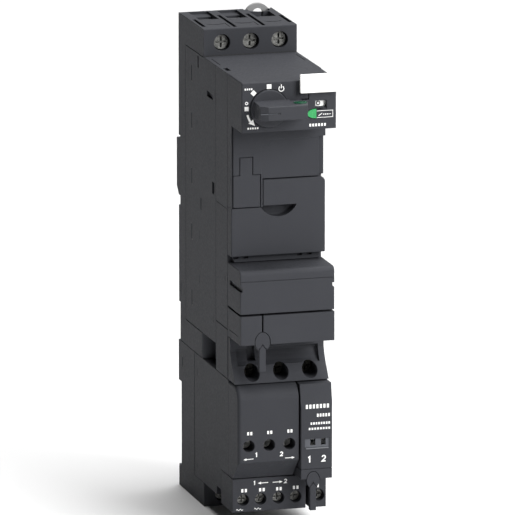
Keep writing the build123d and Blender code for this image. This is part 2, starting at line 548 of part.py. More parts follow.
# --- front cover: knob panel above, centre panel stepped back below it ---
WINDOW_X = (12.4, 18.0)
WINDOW = (202.4, 205.3)
DRUM = (15.2, 103.2)  # side offset and depth of the drum's axis
DRUM_RADIUS = 4.2
DRUM_SPAN = (201.4, 206.4)
LENS_X = (8.6, 13.0)
LENS_HEIGHT = 199.3
TAG_X = (4.6, 22.4)
TAG_SPAN = (209.6, 218.2)
TAG_DEPTH = (110.3, 111.7)
TAG_PEGS = (8.0, 19.0)
TAG_PEG_HEIGHT = 212.4
FACE = (KNOB_PANEL_FRONT - 2.5, KNOB_PANEL_FRONT)
with BuildPart() as front_cover:
    block((-HALF, HALF), (FRAME_FRONT, KNOB_PANEL_FRONT), (KNOB_PANEL_BASE, ROOF))
    block((-HALF, HALF), (FRAME_FRONT, PANEL_FRONT), (CENTRE_PANEL_BASE, KNOB_PANEL_BASE))
    fillet(front_cover.edges().filter_by(Axis.Z).group_by(Axis.Y)[0], EDGE)
    fillet(front_cover.edges().filter_by(Axis.X).sort_by(Axis.Z).group_by(Axis.Z)[-1]
           .sort_by(Axis.Y)[0], EDGE)
    cut((-INNER, INNER), (FRAME_FRONT - 1, FACE[0]), (KNOB_PANEL_BASE + WALL, ROOF - WALL))
    cut((-INNER, INNER), (FRAME_FRONT - 1, PANEL_FRONT - 2.2), (184.0, KNOB_PANEL_BASE + WALL))
    # round seat of the knob's hub, and the spindle's bearing
    rod(KNOB_X, KNOB_HEIGHT, HUB_RADIUS + FIT, (107.9, KNOB_PANEL_FRONT + 1), Mode.SUBTRACT)
    rod(KNOB_X, KNOB_HEIGHT, SPINDLE_RADIUS + 0.05, (FACE[0] - 1, 108.0), Mode.SUBTRACT)
    # indicator window over the drum's pocket, scooped below
    cut(WINDOW_X, (FACE[0], KNOB_PANEL_FRONT + 1), WINDOW)
    outline([(KNOB_PANEL_FRONT - 1.4, WINDOW[0] + 0.1), (KNOB_PANEL_FRONT + 0.5, WINDOW[0] + 0.1),
             (KNOB_PANEL_FRONT + 0.5, WINDOW[0] - 1.8)], WINDOW_X, Mode.SUBTRACT)
    post(*DRUM, DRUM_RADIUS + FIT, (DRUM_SPAN[0] - FIT, DRUM_SPAN[1] + FIT), Mode.SUBTRACT)
    block((DRUM[0] - 2.2, DRUM[0] + 2.2), (DRUM[1] - 2, FACE[0]), (198.4, DRUM_SPAN[0] - FIT))
    block((DRUM[0] - 2.2, DRUM[0] + 2.2), (DRUM[1] - 2, FACE[0]), (DRUM_SPAN[1] + FIT, 209.4))
    post(*DRUM, 0.85, (199.6, 208.2), Mode.SUBTRACT)
    # pocket of the lens, slots beside the tag and the holes of its pegs
    front_oval(LENS_X[1], LENS_HEIGHT, 2 * (LENS_X[1] - LENS_X[0]) + 0.8, 5.0,
               (KNOB_PANEL_FRONT - 1.2, KNOB_PANEL_FRONT + 1), Mode.SUBTRACT)
    block((LENS_X[1], LENS_X[1] + 6), (FACE[0], KNOB_PANEL_FRONT), (196.4, DRUM_SPAN[0] - FIT))
    cut((5.8, 9.5), (FACE[1] - 1.6, FACE[1] + 1), (205.9, 206.6))
    cut((9.1, 9.5), (FACE[1] - 1.6, FACE[1] + 1), (206.6, TAG_SPAN[0]))
    for x in TAG_PEGS:
        rod(x, TAG_PEG_HEIGHT, 1.0, (FACE[0] - 1, FACE[1] + 1), Mode.SUBTRACT)
    # bays of the side connector and of the control unit's shoulder
    cut((EDGE_GROOVE[0], CONNECTOR_X[1] + FIT), (FRAME_FRONT - 1, PANEL_FRONT + 1),
        (CENTRE_PANEL_BASE - 1, PLUG_TOP + FIT))
    cut((TAB_X[0] - FIT, TAB_X[1] + FIT), (FRAME_FRONT - 1, PANEL_FRONT + 1),
        (PLUG_TOP, TAB_TOP + FIT))
    cut((UNIT_STEP_X - FIT, HALF + 1), (FRAME_FRONT - 1, PANEL_FRONT + 1),
        (CENTRE_PANEL_BASE - 1, UNIT_SHOULDER + FIT))
    # stepped field, side groove and the lower strip at the right edge
    cut((-4.2, 19.3), (PANEL_FRONT - 0.25, PANEL_FRONT + 0.5), (181.6, 184.4))
    cut((-8.0, 19.3), (PANEL_FRONT - 0.25, PANEL_FRONT + 0.5), (UNIT_SHOULDER, 181.6))
    cut((19.7, HALF + 1), (88.0, PANEL_FRONT + 1), (UNIT_SHOULDER, 185.0))
    cut((19.3, 19.7), (PANEL_FRONT - 1.6, PANEL_FRONT + 1), (UNIT_SHOULDER, 185.0))
    cut(EDGE_GROOVE, (PANEL_FRONT - 2.0, PANEL_FRONT + 1), (PLUG_TOP, KNOB_PANEL_BASE))
save(front_cover, "front_cover")

with BuildPart() as indicator_lens:
    front_oval(LENS_X[1], LENS_HEIGHT, 2 * (LENS_X[1] - LENS_X[0]), 4.4,
               (KNOB_PANEL_FRONT - 1.2, KNOB_PANEL_FRONT + 0.2))
    cut((LENS_X[1] - 0.05, LENS_X[1] + 6), (FACE[0], FACE[1] + 1), (195.0, 204.0))
save(indicator_lens, "indicator_lens")

with BuildPart() as indicator_drum:
    post(*DRUM, DRUM_RADIUS, DRUM_SPAN)
    post(*DRUM, 0.8, (199.8, 208.0))
save(indicator_drum, "indicator_drum")

with BuildPart() as marker_tag:
    block(TAG_X, TAG_DEPTH, TAG_SPAN)
    fillet(marker_tag.edges().filter_by(Axis.Y), EDGE)
    for x in TAG_PEGS:
        rod(x, TAG_PEG_HEIGHT, 1.0, (107.0, TAG_DEPTH[0]))
        rod(x, TAG_PEG_HEIGHT, 1.8, (KNOB_PANEL_FRONT, TAG_DEPTH[0]))
save(marker_tag, "marker_tag")

with BuildPart() as side_connector:
    block((CONNECTOR_X[0], CONNECTOR_X[1]), (FRAME_FRONT, PANEL_FRONT - 0.1),
          (CENTRE_PANEL_BASE + FIT, PLUG_TOP))
    block(TAB_X, (FRAME_FRONT, PANEL_FRONT - 0.1), (PLUG_TOP, TAB_TOP))
    fillet(side_connector.edges().filter_by(Axis.Z).group_by(Axis.Y)[0], 0.3)
    block((-19.6, CONNECTOR_X[1] - 0.6), (69.0, FRAME_FRONT), (155.0, PLUG_TOP - 2))
save(side_connector, "side_connector")

# --- control unit with its finger scoop, circuit board and plug pins ---
SCOOP = (17.6, 5.4)  # width and height of the finger scoop
SCOOP_TOP = 153.6
SCOOP_DEPTH = 5.2
with BuildPart() as control_unit:
    block((-HALF, HALF), (FRAME_FRONT + 0.2, PANEL_FRONT - 0.2), UNIT_SPAN)
    block((UNIT_STEP_X, HALF), (FRAME_FRONT + 0.2, PANEL_FRONT - 0.2), (UNIT_SPAN[1], UNIT_SHOULDER - 0.3))
    fillet(control_unit.edges().filter_by(Axis.Y).group_by(Axis.Z)[-1].sort_by(Axis.X)[-1], 2.5)
    fillet(control_unit.edges().filter_by(Axis.Z).group_by(Axis.Y)[0], 0.5)
    block((-PLUG_HALF, PLUG_HALF), (64.0, FRAME_FRONT + 0.2), (131.0, 150.8))
    block((UNIT_STEP_X + FIT, PLUG_HALF), (69.0, FRAME_FRONT + 0.2), (150.8, UNIT_SHOULDER - 0.7))
    cut((-PLUG_HALF + 1.5, PLUG_HALF - 1.5), (65.6, PANEL_FRONT - 3.4), (132.6, 146.4))
    cut(SOCKET_X, (63.0, 66.0), (BOARD_HEIGHT, BOARD_HEIGHT + BOARD))
    with BuildSketch(Plane.XZ.offset(PANEL_FRONT)) as scoop:
        with BuildLine():
            scoop_z = SCOOP_TOP - RAIL_HEIGHT
            lid = Line((-SCOOP[0] / 2, scoop_z), (SCOOP[0] / 2, scoop_z))
            ThreePointArc(lid @ 1, (0, scoop_z - SCOOP[1]), lid @ 0)
        make_face()
    extrude(scoop.sketch, amount=-SCOOP_DEPTH, mode=Mode.SUBTRACT)
save(control_unit, "control_unit")

BOARD_TOP = BOARD_HEIGHT + BOARD
COMPONENTS = ((-12.0, 7.0, 6.0), (-2.0, 5.0, 8.0), (7.0, 8.0, 4.0), (14.0, 3.6, 7.0))
with BuildPart() as control_board:
    block((-18.7, 18.7), (65.6, 88.1), (BOARD_HEIGHT, BOARD_TOP))
    block(SOCKET_X, (58.0, 65.6), (BOARD_HEIGHT, BOARD_TOP))
    for x, width, tall in COMPONENTS:
        block((x - width / 2, x + width / 2), (72.0, 80.0), (BOARD_TOP, BOARD_TOP + tall))
save(control_board, "control_board")

# --- middle frame: the bays that the modules plug into ---
CRADLE_BASE = 94.9
SHELF = (127.0, 130.0)
SHELF_FRONT = 88.6
SHELF_SLOTS = (-19.4, -14.8, 10.9, 15.6)
with BuildPart() as module_cradle:
    block((-HALF, HALF), FRAME, (CRADLE_BASE, FRAME_BASE))
    cut((-INNER, INNER), (FRAME[0] - 1, FRAME[1] + 1), (CRADLE_BASE - 1, FRAME_BASE + 1))
    block((-INNER, INNER), (66.0, SHELF_FRONT), SHELF)
    for x in SHELF_SLOTS:
        cut((x - 1.1, x + 1.1), (SHELF_FRONT - 1.5, SHELF_FRONT + 1), (SHELF[1] - 1.4, SHELF[1] - 0.5))
    side_seam((FRAME[0] - 1, FRAME[1] + 1), (FRAME_BASE - SEAM / 2, FRAME_BASE + 1))
    side_seam((FRAME[1] - SEAM, FRAME[1] + 1), (CRADLE_BASE, FRAME_BASE))
    side_seam((80.6, 81.2), (116.9, 119.4))
save(module_cradle, "module_cradle")

# --- function module, the projecting cover under the control unit ---
with BuildPart() as function_module:
    block((-HALF, HALF), (FRAME_FRONT + 0.2, FUNCTION_FRONT), FUNCTION_SPAN)
    fillet(function_module.edges().filter_by(Axis.X).group_by(Axis.Z)[-1].sort_by(Axis.Y)[0], 2.4)
    fillet(function_module.edges().filter_by(Axis.Z).group_by(Axis.Y)[0], 0.4)
    block((-PLUG_HALF, PLUG_HALF), (66.0, FRAME_FRONT + 0.2), (107.0, 125.9))
    cut((-PLUG_HALF + 1.8, PLUG_HALF - 1.8), (67.8, FUNCTION_FRONT - 2.6), (109.0, 124.0))
    cut((-HALF - 1, HALF + 1), (FUNCTION_FRONT - 0.3, FUNCTION_FRONT + 1), (121.3, 121.7))
    for side in (-1, 1):
        groove = sorted((side * (HALF - 1.0), side * (HALF + 1)))
        cut(groove, (88.4, FUNCTION_FRONT + 1), (116.8, 119.0))
save(function_module, "function_module")

# --- connector block in two parts, joined by a sliding key ---
KEY_HEAD = (7.0, 9.0)
KEY_CENTRE = 92.9
KEY_DEPTH = (103.4, 107.0)
KEY_STEM = (78.9, 90.4)
connector_parts = [("connector_left", (-HALF, KEY_X - 0.3)), ("connector_right", (KEY_X + 0.3, HALF))]
for name, (left, right) in connector_parts:
    with BuildPart() as connector:
        block((left, right), (FRAME_FRONT + 0.2, CONNECTOR_FRONT), CONNECTOR_SPAN)
        fillet(connector.edges().filter_by(Axis.Z).group_by(Axis.Y)[0], 0.35)
        block((max(left, -PLUG_HALF), min(right, PLUG_HALF)), (68.0, FRAME_FRONT + 0.2), (95.4, 105.2))
        # clear of the key's head, its guide tongue and its downward travel
        front_oval(KEY_X, KEY_CENTRE, KEY_HEAD[0] + 2 * FIT, KEY_HEAD[1] + 2 * FIT,
                   (KEY_DEPTH[0] - FIT, CONNECTOR_FRONT + 1), Mode.SUBTRACT)
        cut((KEY_X - KEY_HEAD[0] / 2 - FIT, KEY_X + KEY_HEAD[0] / 2 + FIT),
            (KEY_DEPTH[0] - FIT, CONNECTOR_FRONT + 1), (CONNECTOR_SPAN[0] - 1, KEY_CENTRE))
        cut((KEY_X - 1.3, KEY_X + 1.3), (98.0, CONNECTOR_FRONT), (CONNECTOR_SPAN[0] - 1, 96.0))
        if left < KEY_X:
            cut((left - 1, left + SEAM), (88.0, 102.0), (95.1, 95.4))
    save(connector, name)

with BuildPart() as connector_key:
    front_oval(KEY_X, KEY_CENTRE, *KEY_HEAD, KEY_DEPTH)
    block((KEY_X - 1.5, KEY_X + 1.5), (KEY_DEPTH[0] + 0.8, KEY_DEPTH[1]), KEY_STEM)
    block((KEY_X - 1.0, KEY_X + 1.0), (98.6, KEY_DEPTH[0]), (90.0, 95.4))
    for side in (-1, 1):
        cut(sorted((KEY_X + side * 1.5, KEY_X + side * 1.9)), (KEY_DEPTH[1] - 0.5, KEY_DEPTH[1] + 1),
            (87.0, 90.0))
    arrow_groove(KEY_X, 92.0, 1.9, KEY_DEPTH[1])
save(connector_key, "connector_key")

# --- load terminals: sloping front with three screw wells ---
SLOPE = [(FRAME_FRONT, UNIT_BASE), (FRAME_FRONT, CONNECTOR_SPAN[0] - 0.4), (89.0, CONNECTOR_SPAN[0] - 0.4),
         (89.2, 85.0), (90.4, 81.6), (92.4, 78.2), (95.0, 75.0), (97.6, UNIT_BASE)]
FIELD = [(86.6, 86.2), (90.0, 86.2), (96.0, 78.6), (91.4, 78.6), (89.4, 80.0), (87.8, 82.2), (86.8, 84.4)]
FIELD_HALF = 19.6
NECK_HALF = 17.0
LOAD_CELL = (67.0, 80.0)
with BuildPart() as load_terminal_housing:
    block((-HALF, HALF), FRAME, (UNIT_BASE, CRADLE_BASE - 0.1))
    outline(SLOPE, (-HALF, HALF))
    block((-NECK_HALF, NECK_HALF), (TERMINAL_FRONT, FRAME[0]), (UNIT_BASE, NECK_TOP - 0.1))
    cut((-NECK_HALF + WALL, NECK_HALF - WALL), (TERMINAL_FRONT - 1, FRAME[0] + 1),
        (UNIT_BASE + WALL, NECK_TOP + 1))
    cut((-INNER, INNER), (FRAME[0] - 1, 83.0), (UNIT_BASE + 11, CRADLE_BASE + 1))
    for pole in POLES:
        cut((pole - CELL_HALF, pole + CELL_HALF), LOAD_CELL, (UNIT_BASE - 1, UNIT_BASE + 12))
        rod(pole, LOAD_SCREW_HEIGHT, LOAD_WELL_RADIUS, (82.0, 99.0), Mode.SUBTRACT)
        rod(pole, LOAD_SCREW_HEIGHT, SHANK_RADIUS + FIT, (79.0, 83.0), Mode.SUBTRACT)
        cut((pole - BAR_HALF - FIT, pole + BAR_HALF + FIT), (64.0, LOAD_CELL[0] + 1), (86.0, 88.4))
    # concave field over the wells, and the pocket behind the connector's key
    outline(FIELD, (-FIELD_HALF, FIELD_HALF), Mode.SUBTRACT)
    cut((KEY_X - 2.3, KEY_X + 1.6), (84.6, 92.0), (80.0, CONNECTOR_SPAN[0] - 1.2))
    side_seam((FRAME[1] - SEAM, FRAME[1] + 1), (UNIT_BASE, CRADLE_BASE))
    side_seam((FRAME[0] - 1, FRAME[1] + 1), (CRADLE_BASE - 0.1 - SEAM, CRADLE_BASE))
save(load_terminal_housing, "load_terminal_housing")

with BuildPart() as load_screws:
    for pole in POLES:
        screw(pole, LOAD_SCREW_HEIGHT, (83.0, 85.6), 3.3, (76.0, 83.0), SHANK_RADIUS)
save(load_screws, "load_screws")

with BuildPart() as load_clamps:
    for pole in POLES:
        cage((pole - CAGE_HALF, pole + CAGE_HALF), (68.2, 79.6), (72.2, 80.8), 0.8, 69.0)
        rod(pole, LOAD_SCREW_HEIGHT, SHANK_RADIUS + 0.05, (75.0, 80.0), Mode.SUBTRACT)
save(load_clamps, "load_clamps")

# --- reverser block: back moulding with the output terminals below ---
DEEP_BACK = (10.5, 51.3)
DEEP_RECESS = 4.0
OUTPUT_SCREW_HEIGHT = 5.8
with BuildPart() as reverser_base:
    block((-HALF, HALF), (0, BASE_FRONT), (0, BLOCK_TOP))
    block((-HALF, HALF), (0, BASE_TERMINAL[0]), (0, BASE_TERMINAL[1]))
    block((-HALF, HALF), (-0.8, 0), (DEEP_BACK[1], BLOCK_TOP))
    block((-HALF, HALF), (-0.4, 0), (0, 9.2))
    cut((-HALF, HALF), (-1, DEEP_RECESS), DEEP_BACK)
    cut((-INNER, INNER), (DEEP_RECESS + WALL, BASE_FRONT + 1), (13.5, BLOCK_TOP - WALL))
    for pole in POLES:
        cut((pole - CELL_HALF, pole + CELL_HALF), CELL, (-1, 14.5))
        rod(pole, OUTPUT_SCREW_HEIGHT, LOAD_WELL_RADIUS, (30.0, BASE_TERMINAL[0] + 1), Mode.SUBTRACT)
        rod(pole, OUTPUT_SCREW_HEIGHT, SHANK_RADIUS + FIT, (CELL[1] - 1, 31.0), Mode.SUBTRACT)
    side_seam(around(BASE_FRONT), (BASE_TERMINAL[1], BLOCK_TOP))
    side_seam((5.6, 6.4), (58.9, 63.6))
save(reverser_base, "reverser_base")

with BuildPart() as output_screws:
    for pole in POLES:
        screw(pole, OUTPUT_SCREW_HEIGHT, (38.0, 40.8), 3.3, (17.4, 38.0), SHANK_RADIUS)
save(output_screws, "output_screws")

with BuildPart() as output_clamps:
    for pole in POLES:
        cage((pole - CAGE_HALF, pole + CAGE_HALF), (9.4, 21.0), (1.6, 10.4), 1.0, BAR[0])
        rod(pole, OUTPUT_SCREW_HEIGHT, SHANK_RADIUS + 0.05, (17.0, 22.0), Mode.SUBTRACT)
save(output_clamps, "output_clamps")

CONTACT_RACK = (56.0, 62.0)  # height span of the reverser's contacts
CONTACT_FRONT = 24.0
with BuildPart() as output_bars:
    for pole in POLES:
        block((pole - BAR_HALF, pole + BAR_HALF), BAR, (2.2, CONTACT_RACK[0]))
        block((pole - 4.0, pole + 4.0), (8.0, CONTACT_FRONT - 2), CONTACT_RACK)
        block((pole - 3.0, pole + 3.0), (CONTACT_FRONT - 2, CONTACT_FRONT), (57.0, 61.0))
save(output_bars, "output_bars")

BLADE = (71.0, 72.2)  # depth span of the blades in the load clamps
LINK_LEVEL = (66.8, 68.0)
with BuildPart() as link_bars:
    for pole in POLES:
        span = (pole - BAR_HALF, pole + BAR_HALF)
        block(span, (CONTACT_FRONT, CONTACT_FRONT + 1.2), (58.0, LINK_LEVEL[0]))
        block(span, (CONTACT_FRONT, BLADE[1]), LINK_LEVEL)
        block(span, BLADE, (LINK_LEVEL[0], 78.6))
save(link_bars, "link_bars")

# --- reverser magnets, their armatures and the interlock between them ---
MAGNETS = (-10.2, 10.2)
MAGNET_SPAN = (33.0, 49.0)
WINDING_SPAN = (29.0, 53.0)
MAGNET_BACK = 24.0
POLE_FACE = 40.0
with BuildPart() as reverser_cores:
    for x in MAGNETS:
        block((x - 9.0, x + 9.0), (MAGNET_BACK, POLE_FACE), MAGNET_SPAN)
        for side in (-1, 1):
            cut(sorted((x + side * 2.5, x + side * 6.8)), (MAGNET_BACK + 4, POLE_FACE + 1), MAGNET_SPAN)
save(reverser_cores, "reverser_cores")

with BuildPart() as reverser_coils:
    for x in MAGNETS:
        block((x - 6.5, x + 6.5), (MAGNET_BACK + 4.5, POLE_FACE - 1.5), WINDING_SPAN)
        cut((x - 2.5, x + 2.5), (MAGNET_BACK, POLE_FACE), MAGNET_SPAN)
save(reverser_coils, "reverser_coils")

ROCKER = (52.0, 41.0)  # depth and height of the rocker's middle
for number, x in enumerate(MAGNETS, start=1):
    with BuildPart() as reverser_armature:
        block((x - 9.0, x + 9.0), (42.0, 45.0), MAGNET_SPAN)
        chamfer(reverser_armature.edges().filter_by(Axis.Z), 0.8)
        block((x - 1.5, x + 1.5), (45.0, 50.0), (39.0, 43.0))
    save(reverser_armature, f"reverser_armature_{number}")

with BuildPart() as interlock_rocker:
    block((-14.0, 14.0), (ROCKER[0] - 1.4, ROCKER[0] + 1.4), (ROCKER[1] - 4, ROCKER[1] + 4))
    post(0, ROCKER[0], 2.6, (ROCKER[1] - 7, ROCKER[1] + 7))
    post(0, ROCKER[0], 1.2, (WINDING_SPAN[0] - 1.6, WINDING_SPAN[1] + 1.6))
save(interlock_rocker, "interlock_rocker")

# --- reverser block: front shell ---
CONTROL_GAP = 0.2
with BuildPart() as reverser_housing:
    block((-HALF, HALF), (BASE_FRONT + 0.2, BLOCK_FRONT), (BASE_TERMINAL[1] + 0.2, BLOCK_TOP))
    cut((-INNER, INNER), (BASE_FRONT, CONTROL_DEPTH[0] - WALL), (13.5, BLOCK_TOP - WALL))
    cut((-INNER, INNER), (BASE_FRONT, BLOCK_FRONT - WALL), (CONTROL_SPAN[1] + 2.4, BLOCK_TOP - WALL))
    cut((-HALF - 1, HALF + 1), (CONTROL_DEPTH[0] - CONTROL_GAP, BLOCK_FRONT + 1),
        (0, CONTROL_SPAN[1] + CONTROL_GAP))
    cut((-18.0, 18.0), (CONTROL_DEPTH[0] - WALL - 1, CONTROL_DEPTH[0]), (15.5, 22.5))
    for low, high in ((27.0, 29.0), (53.0, 55.0)):
        block((-INNER, INNER), (28.0, 56.0), (low, high))
    post(0, ROCKER[0], 1.25, (27.2, 54.8), Mode.SUBTRACT)
    for pole in POLES:
        cut((pole - BAR_HALF - FIT, pole + BAR_HALF + FIT), (BLADE[0] - FIT, BLADE[1] + FIT),
            (BLOCK_TOP - WALL - 1, BLOCK_TOP + 1))
    for x in COVER_SCREWS:
        rod(x, COVER_SCREW_HEIGHT, 3.4, (78.0, BLOCK_FRONT - 1))
        rod(x, COVER_SCREW_HEIGHT, SMALL_SHANK, (77.0, BLOCK_FRONT + 1), Mode.SUBTRACT)
    # bay of the plug-in module
    cut((7.9, INNER), (BLOCK_FRONT - WALL - 1, BLOCK_FRONT + 1), (31.7, 65.7))
    side_seam((27.2, 27.6), (13.0, BLOCK_TOP))
    for low, high in ((60.8, 64.1), (16.0, 18.1)):
        side_seam(around(32.2), (low, high))
    cut((-HALF - 1, -HALF + 1.8), (66.0, CONTROL_DEPTH[0]), (11.0, 15.5))
save(reverser_housing, "reverser_housing")

COVER_BASE = 25.6
COVER_OUTER = [(86.4, COVER_BASE), (93.4, COVER_BASE), (COVER_FRONT, 35.0), (COVER_FRONT, 70.7),
               (86.4, 70.7)]
COVER_BROW = 7.0  # radius of the cover's upper front edge
COVER_INNER = [(85.0, 27.2), (92.6, 27.2), (100.8, 35.8), (100.8, 61.5), (96.5, 68.7), (85.0, 68.7)]
with BuildPart() as reverser_cover:
    outline(COVER_OUTER, (-HALF, COVER_SPLIT))
    fillet(reverser_cover.edges().filter_by(Axis.X).group_by(Axis.Z)[-1].sort_by(Axis.Y)[0], COVER_BROW)
    fillet(reverser_cover.edges().filter_by(Axis.Z).group_by(Axis.Y)[0].sort_by(Axis.X)[0], 1.6)
    outline(COVER_INNER, (-INNER, COVER_SPLIT - WALL), Mode.SUBTRACT)
    for x in COVER_SCREWS:
        rod(x, COVER_SCREW_HEIGHT, 4.2, (BLOCK_FRONT + 0.2, COVER_FRONT - 1))
    for x in COVER_SCREWS:
        rod(x, COVER_SCREW_HEIGHT, SMALL_WELL, (93.8, COVER_FRONT + 1), Mode.SUBTRACT)
        rod(x, COVER_SCREW_HEIGHT, SMALL_SHANK, (BLOCK_FRONT, 94.0), Mode.SUBTRACT)
save(reverser_cover, "reverser_cover")

with BuildPart() as reverser_cover_screws:
    for x in COVER_SCREWS:
        screw(x, COVER_SCREW_HEIGHT, (93.8, 95.8), SMALL_HEAD, (80.0, 93.8), SMALL_SHANK)
save(reverser_cover_screws, "reverser_cover_screws")

# --- plug-in reverser module with its window, flags and key ---
MODULE_BASE = 25.5
MODULE_TOP = 70.4
WINDOW_SILL = (40.4, 44.6)
GLASS = (102.2, 103.3)
FLAG_X = ((12.0, 14.4), (17.1, 19.3))
FLAG_SPAN = (36.4, 40.0)  # at rest, below the window
FLAG_TRAVEL = 4.0
MODULE_KEY = (6.0, 8.0)  # width and height of the key's head
MODULE_KEY_CENTRE = 24.9
MODULE_KEY_DEPTH = (100.0, MODULE_FRONT)
with BuildPart() as reverser_module:
    outline([(BLOCK_FRONT + 0.2, MODULE_BASE), (MODULE_FRONT, MODULE_BASE), (MODULE_FRONT, 60.0),
             (101.6, MODULE_TOP), (BLOCK_FRONT + 0.2, MODULE_TOP)], (MODULE_LEFT, HALF))
    fillet(reverser_module.edges().filter_by(Axis.Z).group_by(Axis.Y)[0], 0.4)
    block((MODULE_LEFT + 0.8, PLUG_HALF), (70.0, BLOCK_FRONT + 0.2), (32.0, 65.4))
    cut((MODULE_LEFT + WALL, PLUG_HALF - WALL), (72.0, 96.0), (34.0, 63.4))
    cut((MODULE_LEFT + WALL, INNER), (88.0, 96.0), (32.0, 63.4))
    cut((9.3, 21.0), (GLASS[0], MODULE_FRONT + 1), WINDOW_SILL)
    flag_room = (FLAG_SPAN[0] - FLAG_TRAVEL - FIT, WINDOW_SILL[1])
    for low, high in FLAG_X:
        cut((low - FIT, high + FIT), (95.0, GLASS[0] - 1), flag_room)
        cut((low - FIT, high + FIT), (95.0, GLASS[0] + 1), WINDOW_SILL)
    # recess round the key, open downwards, and the groove of its tongue
    reach = MODULE_KEY[0] / 2 + FIT
    front_oval(MODULE_KEY_X, MODULE_KEY_CENTRE, 2 * reach, MODULE_KEY[1] + 2 * FIT,
               (MODULE_KEY_DEPTH[0] - FIT, MODULE_FRONT + 1), Mode.SUBTRACT)
    cut((MODULE_KEY_X - 1.3, MODULE_KEY_X + 1.3), (94.0, MODULE_FRONT), (MODULE_BASE - 1, 28.6))
    for span in ((MODULE_LEFT - 1, MODULE_LEFT + 0.3), (HALF - 0.3, HALF + 1)):
        cut(span, (88.0, MODULE_FRONT + 1), (30.0, 30.4))
    cut((MODULE_LEFT, HALF), (MODULE_FRONT - 0.3, MODULE_FRONT + 1), (30.0, 30.4))
save(reverser_module, "reverser_module")

with BuildPart() as module_key:
    front_oval(MODULE_KEY_X, MODULE_KEY_CENTRE, *MODULE_KEY, MODULE_KEY_DEPTH)
    block((MODULE_KEY_X - 1.4, MODULE_KEY_X + 1.4), (101.0, MODULE_FRONT), (10.5, 22.5))
    block((MODULE_KEY_X - 1.0, MODULE_KEY_X + 1.0), (94.6, MODULE_KEY_DEPTH[0]), (24.0, 28.3))
    arrow_groove(MODULE_KEY_X, 24.2, 1.7, MODULE_FRONT)
save(module_key, "module_key")

with BuildPart() as module_window:
    block((9.3, 21.0), GLASS, WINDOW_SILL)
save(module_window, "module_window")

for number, (low, high) in enumerate(FLAG_X, start=1):
    with BuildPart() as flag:
        block((low, high), (99.4, 100.6), FLAG_SPAN)
        block((low, high), (90.0, 99.4), (FLAG_SPAN[0] + 1, FLAG_SPAN[0] + 2.6))
    save(flag, f"direction_flag_{number}")

# --- control terminals at the foot of the reverser block ---
with BuildPart() as control_terminal_block:
    block((-HALF, HALF), CONTROL_DEPTH, CONTROL_SPAN)
    fillet(control_terminal_block.edges().filter_by(Axis.X).group_by(Axis.Y)[0], 0.5)
    block((-17.7, 17.7), (CONTROL_DEPTH[0] - WALL, CONTROL_DEPTH[0]), (15.8, 22.2))
    for x in CONTROL_SCREWS:
        cut((x - 2.2, x + 2.2), (77.0, 84.0), (CONTROL_SPAN[0] - 1, 19.0))
        rod(x, CONTROL_SCREW_HEIGHT, SMALL_WELL, (87.4, CONTROL_DEPTH[1] + 1), Mode.SUBTRACT)
        rod(x, CONTROL_SCREW_HEIGHT, SMALL_SHANK, (83.0, 88.0), Mode.SUBTRACT)
    cut((12.7, 14.7), (86.0, CONTROL_DEPTH[1] + 1), (CONTROL_SPAN[0] - 1, 20.0))
save(control_terminal_block, "control_terminal_block")

with BuildPart() as control_terminal_screws:
    for x in CONTROL_SCREWS:
        screw(x, CONTROL_SCREW_HEIGHT, (87.4, 89.8), 2.4, (78.6, 87.4), SMALL_SHANK)
save(control_terminal_screws, "control_terminal_screws")

# --- rail clip and the upper mounting lug ---
with BuildPart() as rail_clip:
    block((-CLIP_HALF, CLIP_HALF), (0.4, RAIL_RECESS - FIT), (CLIP_BASE, RAIL_BOTTOM - 2))
    block((-CLIP_HALF, CLIP_HALF), (0.2, RAIL_LIP - 0.1), (RAIL_BOTTOM - 4, RAIL_BOTTOM + 2))
    chamfer(rail_clip.edges().filter_by(Axis.X).sort_by(Axis.Z)[-1], 0.6)
    cut((-2.4, 2.4), (-1, RAIL_RECESS), (CLIP_BASE + 2, CLIP_BASE + 4.4))
save(rail_clip, "rail_clip")

with BuildPart() as mounting_lug:
    block((LUG_X - LUG_WIDTH / 2, LUG_X + LUG_WIDTH / 2), LUG_DEPTH, (LUG_TOP - LUG_LENGTH, LUG_TOP))
    fillet(mounting_lug.edges().filter_by(Axis.Y).group_by(Axis.Z)[-1], LUG_WIDTH / 2 - 0.1)
    rod(LUG_X, LUG_TOP - LUG_HOLE_DROP, LUG_HOLE, (-1, 4), Mode.SUBTRACT)
save(mounting_lug, "mounting_lug")
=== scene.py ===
import json
import math

import bmesh
import bpy
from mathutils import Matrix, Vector


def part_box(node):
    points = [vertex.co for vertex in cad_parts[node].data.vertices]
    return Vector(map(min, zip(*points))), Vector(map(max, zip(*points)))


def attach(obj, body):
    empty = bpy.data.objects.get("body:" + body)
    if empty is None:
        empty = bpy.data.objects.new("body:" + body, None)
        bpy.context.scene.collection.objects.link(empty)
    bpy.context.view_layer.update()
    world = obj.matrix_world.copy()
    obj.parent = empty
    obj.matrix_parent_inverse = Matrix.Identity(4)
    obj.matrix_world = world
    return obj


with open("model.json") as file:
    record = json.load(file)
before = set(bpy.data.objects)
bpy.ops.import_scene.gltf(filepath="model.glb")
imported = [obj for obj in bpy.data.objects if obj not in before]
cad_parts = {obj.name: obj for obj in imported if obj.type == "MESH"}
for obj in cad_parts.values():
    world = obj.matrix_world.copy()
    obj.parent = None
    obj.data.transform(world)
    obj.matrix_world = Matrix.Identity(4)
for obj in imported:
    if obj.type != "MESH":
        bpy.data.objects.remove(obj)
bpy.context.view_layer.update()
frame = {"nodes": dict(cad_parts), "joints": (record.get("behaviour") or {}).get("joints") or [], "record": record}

MM = 0.001
SCENE = bpy.context.scene
BASE_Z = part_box("reverser_base")[0].z  # underside of the reverser block
JOINTS = {joint["name"]: joint for joint in frame["joints"]}
SLOT_OF = {part["node"]: part["material_slot"] for part in frame["record"]["subparts"]}


